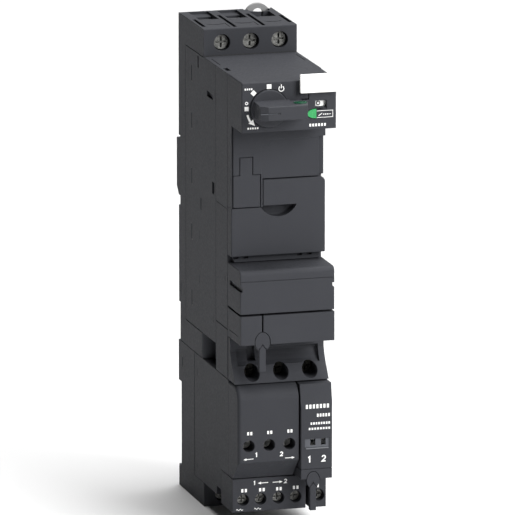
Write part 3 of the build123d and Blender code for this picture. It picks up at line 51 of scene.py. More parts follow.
# ---------------------------------------------------------------- camera, floor and light
CAMERA_PLACE = (-0.9949, -3.5523, 0.7810)
CAMERA_AZIMUTH = -15.885  # degrees from straight in front
CAMERA_ELEVATION = 12.617
SENSOR = 36.0
LENS = 559.2
VIEW_LIMIT = 100

# the studio's brightness along x: dark on the left, white on the right
STUDIO_FADE = {"From Min": -0.3, "From Max": 0.45, "To Min": 0.0, "To Max": 0.9}
KEY_PLACE = (0.62, -0.95, 0.55)
KEY_AIM = (0, -0.05, -0.05)
KEY_SIDE = 0.6
KEY_POWER = 14.5
SUN_POWER = 3.9
SUN_SPREAD = 45  # degrees
SUN_TILT = (-2, 8)  # degrees about x and about y

FLOOR_HALF = 6.0
FLOOR_TONE = 0.63
FLOOR_ROUGHNESS = 0.9
FLOOR_SPECULAR = 0.1


def make_camera():
    data = bpy.data.cameras.new("camera")
    data.sensor_width = SENSOR
    data.lens = LENS
    data.clip_end = VIEW_LIMIT
    camera = bpy.data.objects.new("camera", data)
    camera.location = CAMERA_PLACE
    camera.rotation_euler = (math.radians(90 - CAMERA_ELEVATION), 0, math.radians(CAMERA_AZIMUTH))
    SCENE.collection.objects.link(camera)
    SCENE.camera = camera


def make_studio():
    """White surroundings that are dimmer on the left, against a plain white backdrop."""
    world = bpy.data.worlds.new("studio")
    world.use_nodes = True
    tree = world.node_tree
    sky = tree.nodes["Background"]
    sky.inputs["Color"].default_value = (1.0, 1.0, 1.0, 1)
    direction = tree.nodes.new("ShaderNodeTexCoord").outputs["Generated"]
    split = tree.nodes.new("ShaderNodeSeparateXYZ")
    tree.links.new(direction, split.inputs["Vector"])
    fade = tree.nodes.new("ShaderNodeMapRange")
    for key, value in STUDIO_FADE.items():
        fade.inputs[key].default_value = value
    tree.links.new(split.outputs["X"], fade.inputs["Value"])
    # the backdrop itself shows plain white
    backdrop = tree.nodes.new("ShaderNodeMath")
    backdrop.operation = "MAXIMUM"
    tree.links.new(fade.outputs["Result"], backdrop.inputs[0])
    tree.links.new(tree.nodes.new("ShaderNodeLightPath").outputs["Is Camera Ray"], backdrop.inputs[1])
    tree.links.new(backdrop.outputs["Value"], sky.inputs["Strength"])
    SCENE.world = world
    SCENE.view_settings.view_transform = "Standard"


def make_lamps():
    """A soft key light from the front right and a broad sun from overhead."""
    data = bpy.data.lights.new("key", "AREA")
    data.size = KEY_SIDE
    data.energy = KEY_POWER
    key = bpy.data.objects.new("key", data)
    key.location = KEY_PLACE
    view = Vector(KEY_AIM) - Vector(KEY_PLACE)
    key.rotation_euler = view.to_track_quat("-Z", "Y").to_euler()
    SCENE.collection.objects.link(key)
    sun = bpy.data.lights.new("sky_light", "SUN")
    sun.energy = SUN_POWER
    sun.angle = math.radians(SUN_SPREAD)
    overhead = bpy.data.objects.new("sky_light", sun)
    overhead.rotation_euler = (math.radians(SUN_TILT[0]), math.radians(SUN_TILT[1]), 0)
    SCENE.collection.objects.link(overhead)


def make_floor():
    half = FLOOR_HALF
    mesh = bpy.data.meshes.new("floor")
    corners = [(-half, -half, BASE_Z), (half, -half, BASE_Z), (half, half, BASE_Z), (-half, half, BASE_Z)]
    mesh.from_pydata(corners, [], [(0, 1, 2, 3)])
    floor = bpy.data.objects.new("floor", mesh)
    SCENE.collection.objects.link(floor)
    material = bpy.data.materials.new("floor_paint")
    material.use_nodes = True
    shader = material.node_tree.nodes["Principled BSDF"]
    shader.inputs["Base Color"].default_value = (FLOOR_TONE, FLOOR_TONE, FLOOR_TONE, 1)
    shader.inputs["Roughness"].default_value = FLOOR_ROUGHNESS
    shader.inputs["Specular IOR Level"].default_value = FLOOR_SPECULAR
    mesh.materials.append(material)


# ---------------------------------------------------------------- materials
# scales of the noises, as blotches to the metre
FLOW_SCALE = 38.0
SMEAR_SCALE = 500.0
SHADE_SCALE = 350.0
WEAR_SCALE = 420.0
SWELL_SCALE = 700.0
SHEEN_SCALE = 900.0
STAIN_SCALE = 900.0
FINISH_SCALE = 2600.0
ROUGH_FINISH_SCALE = 1500.0
SPARK_SCALE = 3400.0
PRINT_SCALE = 3800.0
SPECK_SCALE = 5200.0

NOISE_BAND = (0.3, 0.7)  # where nearly all of a noise's values lie
PLASTIC_SPECULAR = 0.1
PLASTIC_RIM = 0.00035  # width of the worn rim of an edge
METAL_RIM = 0.0002
RIM_SAMPLES = 6
PLASTIC_RIM_BAND = (0.02, 0.3)  # how far the normal turns where the wear starts and is full
METAL_RIM_BAND = (0.02, 0.35)
WEAR_BAND = (0.35, 0.7, 0.35, 1.0)  # where the wear is broken, and how far it stays there
FLOW_STRETCH = (1.0, 1.0, 0.35)
FLOW_TONES = (0.96, 1.04)
SPECK_BAND = (0.62, 0.8)
SPECK_SHARE = 0.2
SPECK_TONE = 1.5
STAIN_BAND = (0.35, 0.65)
METAL_RIM_TONE = 1.3
PRINT_BAND = (0.35, 0.75)
PRINT_TONE = 0.84
LENS_TONES = (0.9, 1.08)
LENS_COAT = 0.4
CLEAR_TONE = (0.9, 0.92, 0.93)
CLEAR_IOR = 1.2
GRAIN = 0.00004  # depths of the surface grain
FINE_GRAIN = 0.00003
WORKED_GRAIN = 0.00012
COARSE_GRAIN = 0.00016
PRINT_GRAIN = 0.00001


class Nodes:
    """A material's node tree with short calls for adding and joining nodes."""

    def __init__(self, name):
        self.material = bpy.data.materials.new(name)
        self.material.use_nodes = True
        self.tree = self.material.node_tree
        self.shader = self.tree.nodes["Principled BSDF"]
        self.place = self.add("ShaderNodeTexCoord").outputs["Object"]

    def add(self, kind, **settings):
        node = self.tree.nodes.new(kind)
        for key, value in settings.items():
            if key in node.inputs:
                node.inputs[key].default_value = value
            else:
                setattr(node, key, value)
        return node

    def join(self, source, target):
        self.tree.links.new(source, target)

    def feed(self, socket, value):
        """Joins a socket to another node's output, or sets it to a number or a colour."""
        if isinstance(value, (int, float)):
            socket.default_value = value
        elif isinstance(value, tuple):
            socket.default_value = (*value, 1)
        else:
            self.join(value, socket)

    def paint(self, **looks):
        """Feeds the shader's sockets, named with _ in place of each space."""
        for name, value in looks.items():
            self.feed(self.shader.inputs[name.replace("_", " ")], value)

    def noise(self, scale, detail=2.0, roughness=0.5, stretch=None):
        vector = self.place
        if stretch:
            mapping = self.add("ShaderNodeMapping", Scale=stretch)
            self.join(vector, mapping.inputs["Vector"])
            vector = mapping.outputs["Vector"]
        node = self.add("ShaderNodeTexNoise", Scale=scale, Detail=detail, Roughness=roughness)
        self.join(vector, node.inputs["Vector"])
        return node.outputs["Fac"]

    def ramp(self, factor, low, high, low_value=0.0, high_value=1.0):
        node = self.add("ShaderNodeMapRange")
        ends = {"From Min": low, "From Max": high, "To Min": low_value, "To Max": high_value}
        for key, value in ends.items():
            node.inputs[key].default_value = value
        self.join(factor, node.inputs["Value"])
        return node.outputs["Result"]

    def maths(self, operation, first, second):
        node = self.add("ShaderNodeMath", operation=operation)
        self.feed(node.inputs[0], first)
        self.feed(node.inputs[1], second)
        return node.outputs["Value"]

    def mix(self, factor, first, second):
        node = self.add("ShaderNodeMix", data_type="RGBA")
        # of the node's many sockets, 0 is the factor, 6 and 7 the colours and 2 the mixed colour
        for index, value in ((0, factor), (6, first), (7, second)):
            self.feed(node.inputs[index], value)
        return node.outputs[2]

    def edge_mask(self, radius, low, high):
        """How far the rounded normal leaves the surface's own: the worn rim of each edge."""
        bevel = self.add("ShaderNodeBevel", samples=RIM_SAMPLES, Radius=radius)
        flat = self.add("ShaderNodeNewGeometry").outputs["Normal"]
        dot = self.add("ShaderNodeVectorMath", operation="DOT_PRODUCT")
        self.join(bevel.outputs["Normal"], dot.inputs[0])
        self.join(flat, dot.inputs[1])
        turned = self.maths("SUBTRACT", 1.0, dot.outputs["Value"])
        return self.ramp(turned, low, high), bevel.outputs["Normal"]

    def bump(self, height, distance, strength, normal=None):
        node = self.add("ShaderNodeBump", Distance=distance, Strength=strength)
        self.join(height, node.inputs["Height"])
        if normal is not None:
            self.join(normal, node.inputs["Normal"])
        return node.outputs["Normal"]


def srgb(text):
    """Linear colour of a hex tone."""
    channels = [int(text[i:i + 2], 16) / 255 for i in (1, 3, 5)]
    return tuple(c / 12.92 if c <= 0.04045 else ((c + 0.055) / 1.055) ** 2.4 for c in channels)


def scaled(colour, factor):
    return tuple(min(1.0, c * factor) for c in colour)


def moulded(name, tone, roughness=0.6, grain=GRAIN, wear=1.4):
    """Moulded plastic: spark-eroded grain, faint flow marks and slightly burnished edges."""
    nodes = Nodes(name)
    base = srgb(tone)
    flow = nodes.noise(FLOW_SCALE, detail=3.0, stretch=FLOW_STRETCH)
    cloud = nodes.mix(nodes.ramp(flow, *NOISE_BAND), *[scaled(base, tone) for tone in FLOW_TONES])
    speck = nodes.ramp(nodes.noise(SPECK_SCALE, detail=1.0), *SPECK_BAND)
    speckled = nodes.mix(nodes.maths("MULTIPLY", speck, SPECK_SHARE), cloud, scaled(base, SPECK_TONE))
    edge, rounded = nodes.edge_mask(PLASTIC_RIM, *PLASTIC_RIM_BAND)
    broken = nodes.ramp(nodes.noise(WEAR_SCALE, detail=4.0), *WEAR_BAND)
    colour = nodes.mix(nodes.maths("MULTIPLY", edge, broken), speckled, scaled(base, wear))
    sheen = nodes.noise(SHEEN_SCALE, detail=3.0)
    gloss = nodes.ramp(sheen, *NOISE_BAND, roughness - 0.05, roughness + 0.07)
    spark = nodes.noise(SPARK_SCALE, detail=3.0, roughness=0.6)
    fine = nodes.bump(spark, grain, 0.55, rounded)
    swell = nodes.bump(nodes.noise(SWELL_SCALE, detail=1.0), grain * 1.5, 0.25, fine)
    nodes.paint(Base_Color=colour, Roughness=gloss, Specular_IOR_Level=PLASTIC_SPECULAR, Normal=swell)
    return nodes.material


def metal(name, tone, roughness, grain=FINE_GRAIN, metallic=1.0, stretch=None,
          scale=FINISH_SCALE, stain=0.75):
    """Plated or bare metal with a fine finish and darker patches."""
    nodes = Nodes(name)
    base = srgb(tone)
    patch = nodes.ramp(nodes.noise(STAIN_SCALE, detail=5.0, roughness=0.65), *STAIN_BAND)
    edge, rounded = nodes.edge_mask(METAL_RIM, *METAL_RIM_BAND)
    stained = nodes.mix(patch, scaled(base, stain), base)
    colour = nodes.mix(edge, stained, scaled(base, METAL_RIM_TONE))
    gloss = nodes.ramp(patch, 0.0, 1.0, roughness + 0.14, roughness)
    finish = nodes.bump(nodes.noise(scale, detail=3.0, stretch=stretch), grain, 0.7, rounded)
    nodes.paint(Base_Color=colour, Metallic=metallic, Roughness=gloss, Normal=finish)
    return nodes.material


def ink(name, tone):
    """Pad-printed ink, slightly uneven where the grain shows through."""
    nodes = Nodes(name)
    base = srgb(tone)
    thin = nodes.ramp(nodes.noise(PRINT_SCALE, detail=2.0), *PRINT_BAND)
    colour = nodes.mix(thin, base, scaled(base, PRINT_TONE))
    gloss = nodes.ramp(thin, 0, 1, 0.45, 0.6)
    nodes.paint(Base_Color=colour, Roughness=gloss, Normal=nodes.bump(thin, PRINT_GRAIN, 0.4))
    return nodes.material


def lens_plastic(name, tone, painted_glow):
    """Dyed clear plastic with a faint painted glow: emission that makes the lens look lit."""
    nodes = Nodes(name)
    base = srgb(tone)
    shade = nodes.ramp(nodes.noise(SHADE_SCALE, detail=2.0), *NOISE_BAND)
    colour = nodes.mix(shade, *[scaled(base, tone) for tone in LENS_TONES])
    nodes.paint(Base_Color=colour, Emission_Color=base, Emission_Strength=painted_glow,
                Roughness=nodes.ramp(shade, 0, 1, 0.22, 0.32), Coat_Weight=LENS_COAT)
    return nodes.material


def clear_plastic(name):
    nodes = Nodes(name)
    gloss = nodes.ramp(nodes.noise(SMEAR_SCALE, detail=3.0), *NOISE_BAND, 0.04, 0.12)
    nodes.paint(Base_Color=CLEAR_TONE, Transmission_Weight=1.0, IOR=CLEAR_IOR, Roughness=gloss)
    return nodes.material


PLASTICS = {
    "moulded_black": dict(tone="#36373b"),
    "module_black": dict(tone="#37383c"),
    "knob_black": dict(tone="#37383c", roughness=0.47, grain=FINE_GRAIN),
    "mechanism_white": dict(tone="#c9c6ba", roughness=0.45, wear=1.05),
    "marker_white": dict(tone="#f1f1ef", roughness=0.5, wear=1.0),
    "board_green": dict(tone="#24583a", roughness=0.35, wear=1.2),
    "lug_grey": dict(tone="#8e8e8e", roughness=0.35, wear=1.15),
    # tone of the painted highlight under the module's window
    "sill_highlight_grey": dict(tone="#6d6f73", roughness=0.3),
    "frost_grey": dict(tone="#55575c", roughness=0.5),
}
METALS = {
    "terminal_steel": dict(tone="#8e8e8b", roughness=0.45, grain=COARSE_GRAIN,
                           scale=ROUGH_FINISH_SCALE, stain=0.38),
    # a darker copy of the terminal steel: painted shade for the load screws deep in their wells
    "painted_shade_steel": dict(tone="#3a3935", roughness=0.5, grain=WORKED_GRAIN,
                         scale=ROUGH_FINISH_SCALE, stain=0.5),
    # a lighter, less metallic copy of the terminal steel: painted light on the cover screws deep in their wells
    "painted_light_steel": dict(tone="#d4d4d0", roughness=0.6, grain=COARSE_GRAIN, metallic=0.2,
                         scale=ROUGH_FINISH_SCALE, stain=0.35),
    "zinc_steel": dict(tone="#a4a6a8", roughness=0.34, stain=0.88),
    "bus_copper": dict(tone="#c07a50", roughness=0.28, stretch=(1, 1, 0.1)),
    "winding_copper": dict(tone="#9c5530", roughness=0.3),
    "core_steel": dict(tone="#7d7f82", roughness=0.4, stretch=(8, 0.4, 0.4)),
}
INKS = {
    "ink_white": dict(tone="#f4f4f2"),
    "ink_dark": dict(tone="#141517"),
}
LENSES = {
    # the green lens gets a faint painted glow from emission; the inlay gets none
    "lens_green": dict(tone="#048f46", painted_glow=0.04),
    "inlay_green": dict(tone="#0c4a30", painted_glow=0.0),
}


def make_materials():
    made = {"window_clear": clear_plastic("window_clear")}
    for maker, family in ((moulded, PLASTICS), (metal, METALS), (ink, INKS), (lens_plastic, LENSES)):
        for name, looks in family.items():
            made[name] = maker(name, **looks)
    return made


# nodes given a copy of their slot's material with light or shade painted in: the load screws darkened as painted
# shade deep in their wells, the cover screws lightened as painted light
NODE_FINISH = {"load_screws": "painted_shade_steel", "reverser_cover_screws": "painted_light_steel"}


def dress_cad():
    for node, piece in frame["nodes"].items():
        piece.data.materials.clear()
        piece.data.materials.append(MATERIALS[NODE_FINISH.get(node, SLOT_OF[node])])


# ---------------------------------------------------------------- thin printed and moulded marks
# all in mm
INK = 0.05  # how far a mark stands proud
SINK = 0.05  # how far it reaches into the surface under it
MITRE_LIMIT = 0.35  # keeps the corner of a sharply bent band from running far out
DOT_SIDES = 10
ARC_STEPS = 20
HEAD_SHAPE = 1.3  # length of an arrow's head over its width
HEAD_LAP = 0.1  # how far an arrow's shaft runs into its head
BLOCK_SHARE = 0.6  # share of its step that each block of a row fills
ONE_FLAG = (0.24, 0.27)  # reach and height of a 1's flag, as shares of the number's height
ONE_PEAK = 0.3  # how far a 1's line stops below the top, as a share of its width
TWO_BOW = 0.27  # radius of a 2's bow, as a share of the number's height
TWO_FOOT = 1.15  # reach of a 2's foot, in bows


def unit(start, end):
    x, y = end[0] - start[0], end[1] - start[1]
    length = math.hypot(x, y) or 1.0
    return (x / length, y / length)


class Marks:
    """Flat shapes drawn on a plane in mm, made into thin solid plates on one body."""

    def __init__(self, name, material, slot, body, place):
        self.name, self.material, self.slot, self.body = name, material, slot, body
        self.place = place  # turns (across, up, out) in mm into a point of the frame
        self.mesh = bpy.data.meshes.new(name)
        self.points, self.faces = [], []

    def ring_pair(self, outline):
        """The same outline at the back and the front of the plate; returns both index lists."""
        start = len(self.points)
        for out in (-SINK, INK):
            self.points += [self.place(across, up, out) for across, up in outline]
        count = len(outline)
        return range(start, start + count), range(start + count, start + 2 * count)

    def shape(self, outline):
        back, front = self.ring_pair(outline)
        count = len(outline)
        self.faces.append(tuple(front))
        self.faces.append(tuple(reversed(back)))
        for i in range(count):
            j = (i + 1) % count
            self.faces.append((back[i], back[j], front[j], front[i]))

    def band(self, points, width, closed=False):
        """A line of even width through the points, mitred at its corners."""
        left, right = [], []
        count = len(points)
        for i, point in enumerate(points):
            before = points[i - 1] if (closed or i) else None
            after = points[(i + 1) % count] if (closed or i < count - 1) else None
            into = unit(before, point) if before else unit(point, after)
            out_of = unit(point, after) if after else into
            bend = Vector((into[0] + out_of[0], into[1] + out_of[1])).normalized()
            side = (-bend[1], bend[0])
            reach = width / 2 / max(MITRE_LIMIT, into[0] * bend[0] + into[1] * bend[1])
            left.append((point[0] + side[0] * reach, point[1] + side[1] * reach))
            right.append((point[0] - side[0] * reach, point[1] - side[1] * reach))
        if not closed:
            self.shape(right + left[::-1])
            return
        left_back, left_front = self.ring_pair(left)
        right_back, right_front = self.ring_pair(right)
        strips = ((right_front, left_front), (left_back, right_back),
                  (left_front, left_back), (right_back, right_front))
        for i in range(count):
            j = (i + 1) % count
            self.faces += [(first[i], first[j], second[j], second[i]) for first, second in strips]

    def box(self, across, up, wide, tall):
        half, high = wide / 2, tall / 2
        corners = [(-half, -high), (half, -high), (half, high), (-half, high)]
        self.shape([(across + x, up + y) for x, y in corners])

    def dot(self, across, up, radius):
        turns = [math.tau * i / DOT_SIDES for i in range(DOT_SIDES)]
        self.shape([(across + radius * math.cos(t), up + radius * math.sin(t)) for t in turns])

    def arc(self, across, up, radius, start, end, width):
        turns = [math.radians(start + (end - start) * i / ARC_STEPS) for i in range(ARC_STEPS + 1)]
        line = [(across + radius * math.cos(t), up + radius * math.sin(t)) for t in turns]
        self.band(line, width)

    def ring(self, across, up, radius, width):
        turns = [math.tau * i / ARC_STEPS for i in range(ARC_STEPS)]
        line = [(across + radius * math.cos(t), up + radius * math.sin(t)) for t in turns]
        self.band(line, width, closed=True)

    def arrow(self, tail, tip, width, head):
        along = unit(tail, tip)
        side = (-along[1], along[0])
        neck = (tip[0] - along[0] * head * HEAD_SHAPE, tip[1] - along[1] * head * HEAD_SHAPE)
        self.band([tail, (neck[0] + along[0] * HEAD_LAP, neck[1] + along[1] * HEAD_LAP)], width)
        self.shape([(neck[0] - side[0] * head / 2, neck[1] - side[1] * head / 2), tip,
                    (neck[0] + side[0] * head / 2, neck[1] + side[1] * head / 2)])

    def one(self, across, up, tall, width):
        flag = (across - tall * ONE_FLAG[0], up + tall * ONE_FLAG[1])
        peak = (across, up + tall / 2 - width * ONE_PEAK)
        self.band([flag, peak, (across, up - tall / 2)], width)

    def two(self, across, up, tall, width):
        bow = tall * TWO_BOW
        centre = up + tall / 2 - bow
        foot = up - tall / 2 + width / 2
        turns = [math.radians(turn) for turn in range(170, -50, -20)]
        line = [(across + bow * math.cos(t), centre + bow * math.sin(t)) for t in turns]
        self.band(line + [(across - bow, foot), (across + bow * TWO_FOOT, foot)], width)

    def bars(self, across, up, wide, tall, count):
        """A row of plain blocks, where a word would be printed."""
        step = wide / count
        for i in range(count):
            self.box(across - wide / 2 + step * (i + 0.5), up, step * BLOCK_SHARE, tall)

    def finish(self):
        self.mesh.from_pydata(self.points, [], self.faces)
        work = bmesh.new()
        work.from_mesh(self.mesh)
        bmesh.ops.recalc_face_normals(work, faces=work.faces)
        work.to_mesh(self.mesh)
        work.free()
        piece = bpy.data.objects.new(self.name, self.mesh)
        self.mesh.materials.append(MATERIALS[self.material])
        SCENE.collection.objects.link(piece)
        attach(piece, self.body)


def facing_front(plane, centre=(0, 0)):
    """Places a mark on a plane that faces the front; the centre is in mm over the underside."""
    return lambda across, up, out: ((centre[0] + across) * MM, plane - out * MM,
                                    BASE_Z + (centre[1] + up) * MM)


def on_front(node, centre=(0, 0)):
    """Places a mark on the foremost plane of a node."""
    return facing_front(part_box(node)[0].y, centre)


def on_side(side):
    """Places a mark on the left (-1) or right (1) side face: across is the depth."""
    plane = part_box("front_housing")[1].x
    return lambda across, up, out: (side * (plane + out * MM), -across * MM, BASE_Z + up * MM)


def on_drum(axis, radius):
    """Wraps a mark round an upright drum: across is the arc length from the front line."""
    def place(across, up, out):
        turn = across * MM / radius
        reach = radius + out * MM
        return (axis[0] + reach * math.sin(turn), axis[1] - reach * math.cos(turn), axis[2] + up * MM)
    return place


# The dial, in mm from the knob's axis.
# Boxes are (across, up, wide, tall) and rows of blocks (across, up, wide, tall, count).
DIAL_BOXES = (
    (0.1, 10.2, 2.2, 2.1),  # over the knob
    (-10.6, 0.3, 1.95, 2.0),  # to its left
)
DIAL_DIAMOND = (-7.3, 7.5)
DIAMOND_REACH = 1.45
DIAMOND_CORNERS = ((-1, 0), (0, -1), (1, 0), (0, 1))
DIAL_RING = (-10.6, 2.9, 0.58, 0.3)  # across, up, radius, width
STANDBY_RING = (5.9, 8.9, 1.2, 120, 420, 0.42)  # across, up, radius, start, end, width
STANDBY_STEM = (5.9, 10.0, 0.42, 1.8)
RESET_SHAFT = (0, 0, 10.5, 194, 214, 0.95)
RESET_HEAD = ((-9.7, -6.5), (-6.7, -7.7), (-7.5, -4.8))
DIAL_ROWS = (
    (-9.7, 9.4, 4.0, 0.85, 4),  # by the diamond
    (-7.6, -8.9, 5.6, 0.85, 5),  # under the reset arrow
)
# the frame beside the lens, open towards it, with a switch sign and a word
LENS_FRAME = ((22.8, -5.5), (30.4, -5.5), (30.4, -2.4), (22.8, -2.4))
SWITCH_SIGN = ((23.6, -4.7), (25.3, -3.6))
LENS_WORD = (27.0, -4.1, 2.8, 0.5, 3)
LENS_DASH = ((28.4, -4.1), (29.6, -4.1))
LENS_LINES = ((LENS_FRAME, 0.22), (SWITCH_SIGN, 0.3), (LENS_DASH, 0.24))  # with their widths
TYPE_ROW = (23.2, -8.9, 8.4, 1.25, 6)


def dial_marks():
    """The marks round the knob and beside the lens."""
    axis = JOINTS["knob_turn"]["pos_m"]
    centre = (axis[0] / MM, (axis[2] - BASE_Z) / MM)
    marks = Marks("dial_marks", "ink_white", "marker_white", "base", on_front("front_cover", centre))
    for box in DIAL_BOXES:
        marks.box(*box)
    marks.shape([(DIAL_DIAMOND[0] + x * DIAMOND_REACH, DIAL_DIAMOND[1] + y * DIAMOND_REACH)
                 for x, y in DIAMOND_CORNERS])
    marks.ring(*DIAL_RING)
    marks.arc(*STANDBY_RING)
    marks.box(*STANDBY_STEM)
    marks.arc(*RESET_SHAFT)
    marks.shape(RESET_HEAD)
    for row in DIAL_ROWS:
        marks.bars(*row)
    for line, width in LENS_LINES:
        marks.band(line, width)
    marks.bars(*LENS_WORD)
    marks.bars(*TYPE_ROW)
    marks.finish()


# The lower block, in mm from the middle of the width and from the underside.
# Numbers are (across, up, tall, width of line).
COVER_ARROWS = (((-15.2, 36.8), (-20.0, 36.6)), ((0.0, 36.2), (4.6, 36.2)))
COVER_ARROW_LINE = (0.3, 1.1)  # widths of the shaft and the head
COVER_ONE = (-13.7, 38.6, 2.1, 0.45)
COVER_TWO = (-1.7, 38.2, 2.0, 0.42)
COVER_LABELS = (-17.0, -7.4, 2.3)  # over the three screw wells
COVER_LABEL = (48.9, 3.0, 1.5, 2)  # up, wide, tall, count

MODULE_ONE = (11.6, 34.9, 3.0, 0.6)
MODULE_TWO = (18.4, 34.9, 2.9, 0.55)
MODULE_ROWS = (
    (15.3, 60.0, 11.8, 1.9, 7),
    (18.2, 55.7, 6.8, 1.5, 5),
    (16.7, 51.9, 9.8, 1.1, 8),
    (16.3, 49.4, 10.8, 1.0, 8),
)

FOOT_ARROWS = (((-5.4, 22.6), (-10.4, 22.5)), ((-3.2, 22.5), (1.6, 22.5)))
FOOT_ARROW_LINE = (0.34, 1.2)
FOOT_ONE = (-11.9, 22.7, 1.9, 0.42)
FOOT_TWO = (3.0, 22.6, 1.9, 0.42)
FOOT_ROWS = (
    (-17.0, 19.4, 3.4, 1.6, 2),
    (-8.4, 19.3, 3.4, 1.6, 2),
    (-0.2, 19.2, 3.4, 1.6, 2),
    (7.9, 19.3, 3.4, 1.6, 2),
    (18.7, 19.4, 1.3, 1.6, 1),
)
WAVES = (-19.2, -10.5)  # middles of the two wave signs
WAVE_HEIGHT = 10.35
WAVE_SWING = 0.34
WAVE_STEPS = 16
WAVE_STEP = 0.2
WAVE_TURN = 0.8  # radians to each step
WAVE_LINE = 0.26


def cover_marks():
    """Direction arrows, numbers and screw labels on the reverser's cover."""
    marks = Marks("cover_marks", "ink_white", "marker_white", "base", on_front("reverser_cover"))
    for tail, tip in COVER_ARROWS:
        marks.arrow(tail, tip, *COVER_ARROW_LINE)
    marks.one(*COVER_ONE)
    marks.two(*COVER_TWO)
    for across in COVER_LABELS:
        marks.bars(across, *COVER_LABEL)
    marks.finish()


def module_marks():
    """The numbers under the module's window and the rows over it."""
    marks = Marks("module_marks", "ink_white", "marker_white", "reverser_module", on_front("reverser_module"))
    marks.one(*MODULE_ONE)
    marks.two(*MODULE_TWO)
    for row in MODULE_ROWS:
        marks.bars(*row)
    marks.finish()


def terminal_marks():
    """Direction arrows, numbers, screw labels and wave signs on the control terminals."""
    marks = Marks("terminal_marks", "ink_white", "marker_white", "base", on_front("control_terminal_block"))
    marks.one(*FOOT_ONE)
    for tail, tip in FOOT_ARROWS:
        marks.arrow(tail, tip, *FOOT_ARROW_LINE)
    marks.two(*FOOT_TWO)
    for row in FOOT_ROWS:
        marks.bars(*row)
    for across in WAVES:
        start = across - WAVE_STEP * WAVE_STEPS / 2
        wave = [(start + WAVE_STEP * i, WAVE_HEIGHT + WAVE_SWING * math.sin(i * WAVE_TURN))
                for i in range(WAVE_STEPS + 1)]
        marks.band(wave, WAVE_LINE)
    marks.finish()


GROOVE_DEPTH = 0.3  # of the pointer groove in the knob
POINTER_START = 1.3  # from the knob's left edge
POINTER_LENGTH = 8.0
POINTER_DROP = -0.1  # of the line from the knob's axis
POINTER_LINE = 0.34


def pointer_mark():
    """The pale line in the groove across the knob's front."""
    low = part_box("knob")[0]
    axis = JOINTS["knob_turn"]["pos_m"]
    plane = low.y + GROOVE_DEPTH * MM
    place = facing_front(plane, (0, (axis[2] - BASE_Z) / MM))
    mark = Marks("pointer_line", "frost_grey", "lug_grey", "knob_assembly", place)
    start = low.x / MM + POINTER_START
    mark.band([(start, POINTER_DROP), (start + POINTER_LENGTH, POINTER_DROP)], POINTER_LINE)
    mark.finish()


FROST_SILL = 1.1  # height of the frosted strip under the window's clear squares
HIGHLIGHT_DROP = 0.35  # of the painted highlight under the window, a light band standing for its lit lower bevel
HIGHLIGHT_ENDS = (0.5, 0.3)  # how far the painted highlight stays inside the window's left and right
HIGHLIGHT_LINE = 0.5
PIP_SIZE = (0.6, 0.45)
PIP_OFFSETS = ((-0.2, 0.1), (-0.1, 0.3), (0.4, 0.3))  # from three corners of the window


def window_marks():
    """The frosted face of the module's window with its two clear squares, a painted highlight along its lower
    bevel, and pips.
    """
    low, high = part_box("module_window")
    left, right = low.x / MM, high.x / MM
    sill, top = (low.z - BASE_Z) / MM, (high.z - BASE_Z) / MM
    frost = Marks("window_frost", "frost_grey", "window_clear", "reverser_module", on_front("module_window"))
    comb = [(left, sill), (right, sill), (right, top)]
    for number in (2, 1):
        flag_low, flag_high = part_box(f"direction_flag_{number}")
        near, far = flag_low.x / MM, flag_high.x / MM
        comb += [(far, top), (far, sill + FROST_SILL), (near, sill + FROST_SILL), (near, top)]
    frost.shape(comb + [(left, top)])
    frost.finish()
    # a lighter band under the window: painted highlight on its lower bevel
    sill_highlight = Marks("window_sill_highlight", "sill_highlight_grey", "lug_grey", "reverser_module", on_front("reverser_module"))
    sill_highlight.band([(left + HIGHLIGHT_ENDS[0], sill - HIGHLIGHT_DROP), (right - HIGHLIGHT_ENDS[1], sill - HIGHLIGHT_DROP)], HIGHLIGHT_LINE)
    sill_highlight.finish()
    pips = Marks("window_pips", "ink_dark", "module_black", "reverser_module", on_front("reverser_module"))
    corners = ((left, sill), (left, top), (right, top))
    for corner, offset in zip(corners, PIP_OFFSETS):
        pips.box(corner[0] + offset[0], corner[1] + offset[1], *PIP_SIZE)
    pips.finish()


DRUM_RING = (-0.9, -0.1, 0.82, 0.42)  # across, up, radius, width
DRUM_STROKE = (-0.1, 0.55, 2.0)  # up, wide, tall


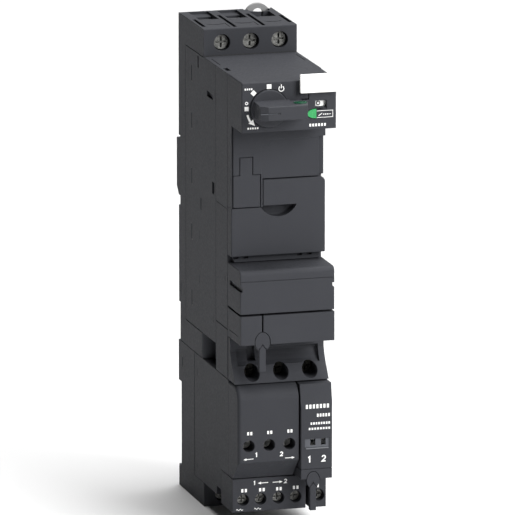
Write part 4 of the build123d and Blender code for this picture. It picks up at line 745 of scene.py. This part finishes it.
def drum_marks():
    """A ring at the front of the drum for OFF and a stroke a quarter turn away for ON."""
    low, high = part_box("indicator_drum")
    radius = (high.x - low.x) / 2
    place = on_drum(JOINTS["drum_turn"]["pos_m"], radius)
    marks = Marks("drum_marks", "ink_dark", "marker_white", "indicator_drum", place)
    marks.ring(*DRUM_RING)
    marks.box(-math.pi / 2 * radius / MM, *DRUM_STROKE)
    marks.finish()


SLOT_DROPS = (15.3, 37.9, 64.3, 90.9, 122.5)  # foot of each latch slot, below the roof
FOOT_DOT = (6.3, 0.0, 0.45)  # depth into the shell, height over the slot's foot, radius
TOP_DOT = (5.0, 7.5, 0.28)


def side_marks():
    """Dark ejector dots at the foot and the top of each latch slot, on both sides."""
    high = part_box("front_housing")[1]
    back, roof = -high.y / MM, (high.z - BASE_Z) / MM
    for side, name in ((-1, "left"), (1, "right")):
        marks = Marks("side_marks_" + name, "ink_dark", "moulded_black", "base", on_side(side))
        for drop in SLOT_DROPS:
            for depth, rise, radius in (FOOT_DOT, TOP_DOT):
                marks.dot(back + depth, roof - drop + rise, radius)
        marks.finish()


HEAD_RECESS = 2.4  # of the line screws behind the face of their block
TICK_INSET = 1.75  # of the outer groups of ticks from the ends of the row of screws
TICK_RISE = 11.1  # over the roof
TICK_STEP = 1.2
TICK_SIZE = (0.3, 0.9)
ROOF_JOINT = (0, 0.2, 44.6, 0.4)  # across, over the roof, wide, tall


def line_marks():
    """Faint ticks over the line screws, and the dark joint between their block and the roof."""
    low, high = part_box("line_screws")
    plane = low.y - HEAD_RECESS * MM
    roof = (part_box("front_housing")[1].z - BASE_Z) / MM
    place = facing_front(plane, (0, roof))
    marks = Marks("line_marks", "ink_dark", "moulded_black", "base", place)
    spacing = (high.x - low.x) / MM / 2 - TICK_INSET
    middle = (low.x + high.x) / MM / 2
    for number in (1, 2, 3):
        across = middle + (number - 2) * spacing
        for i in range(number + 1):
            marks.box(across + TICK_STEP * (i - number / 2), TICK_RISE, *TICK_SIZE)
    marks.box(*ROOF_JOINT)
    marks.finish()


make_camera()
make_studio()
make_lamps()
make_floor()
MATERIALS = make_materials()
dress_cad()
dial_marks()
cover_marks()
module_marks()
terminal_marks()
pointer_mark()
window_marks()
drum_marks()
side_marks()
line_marks()
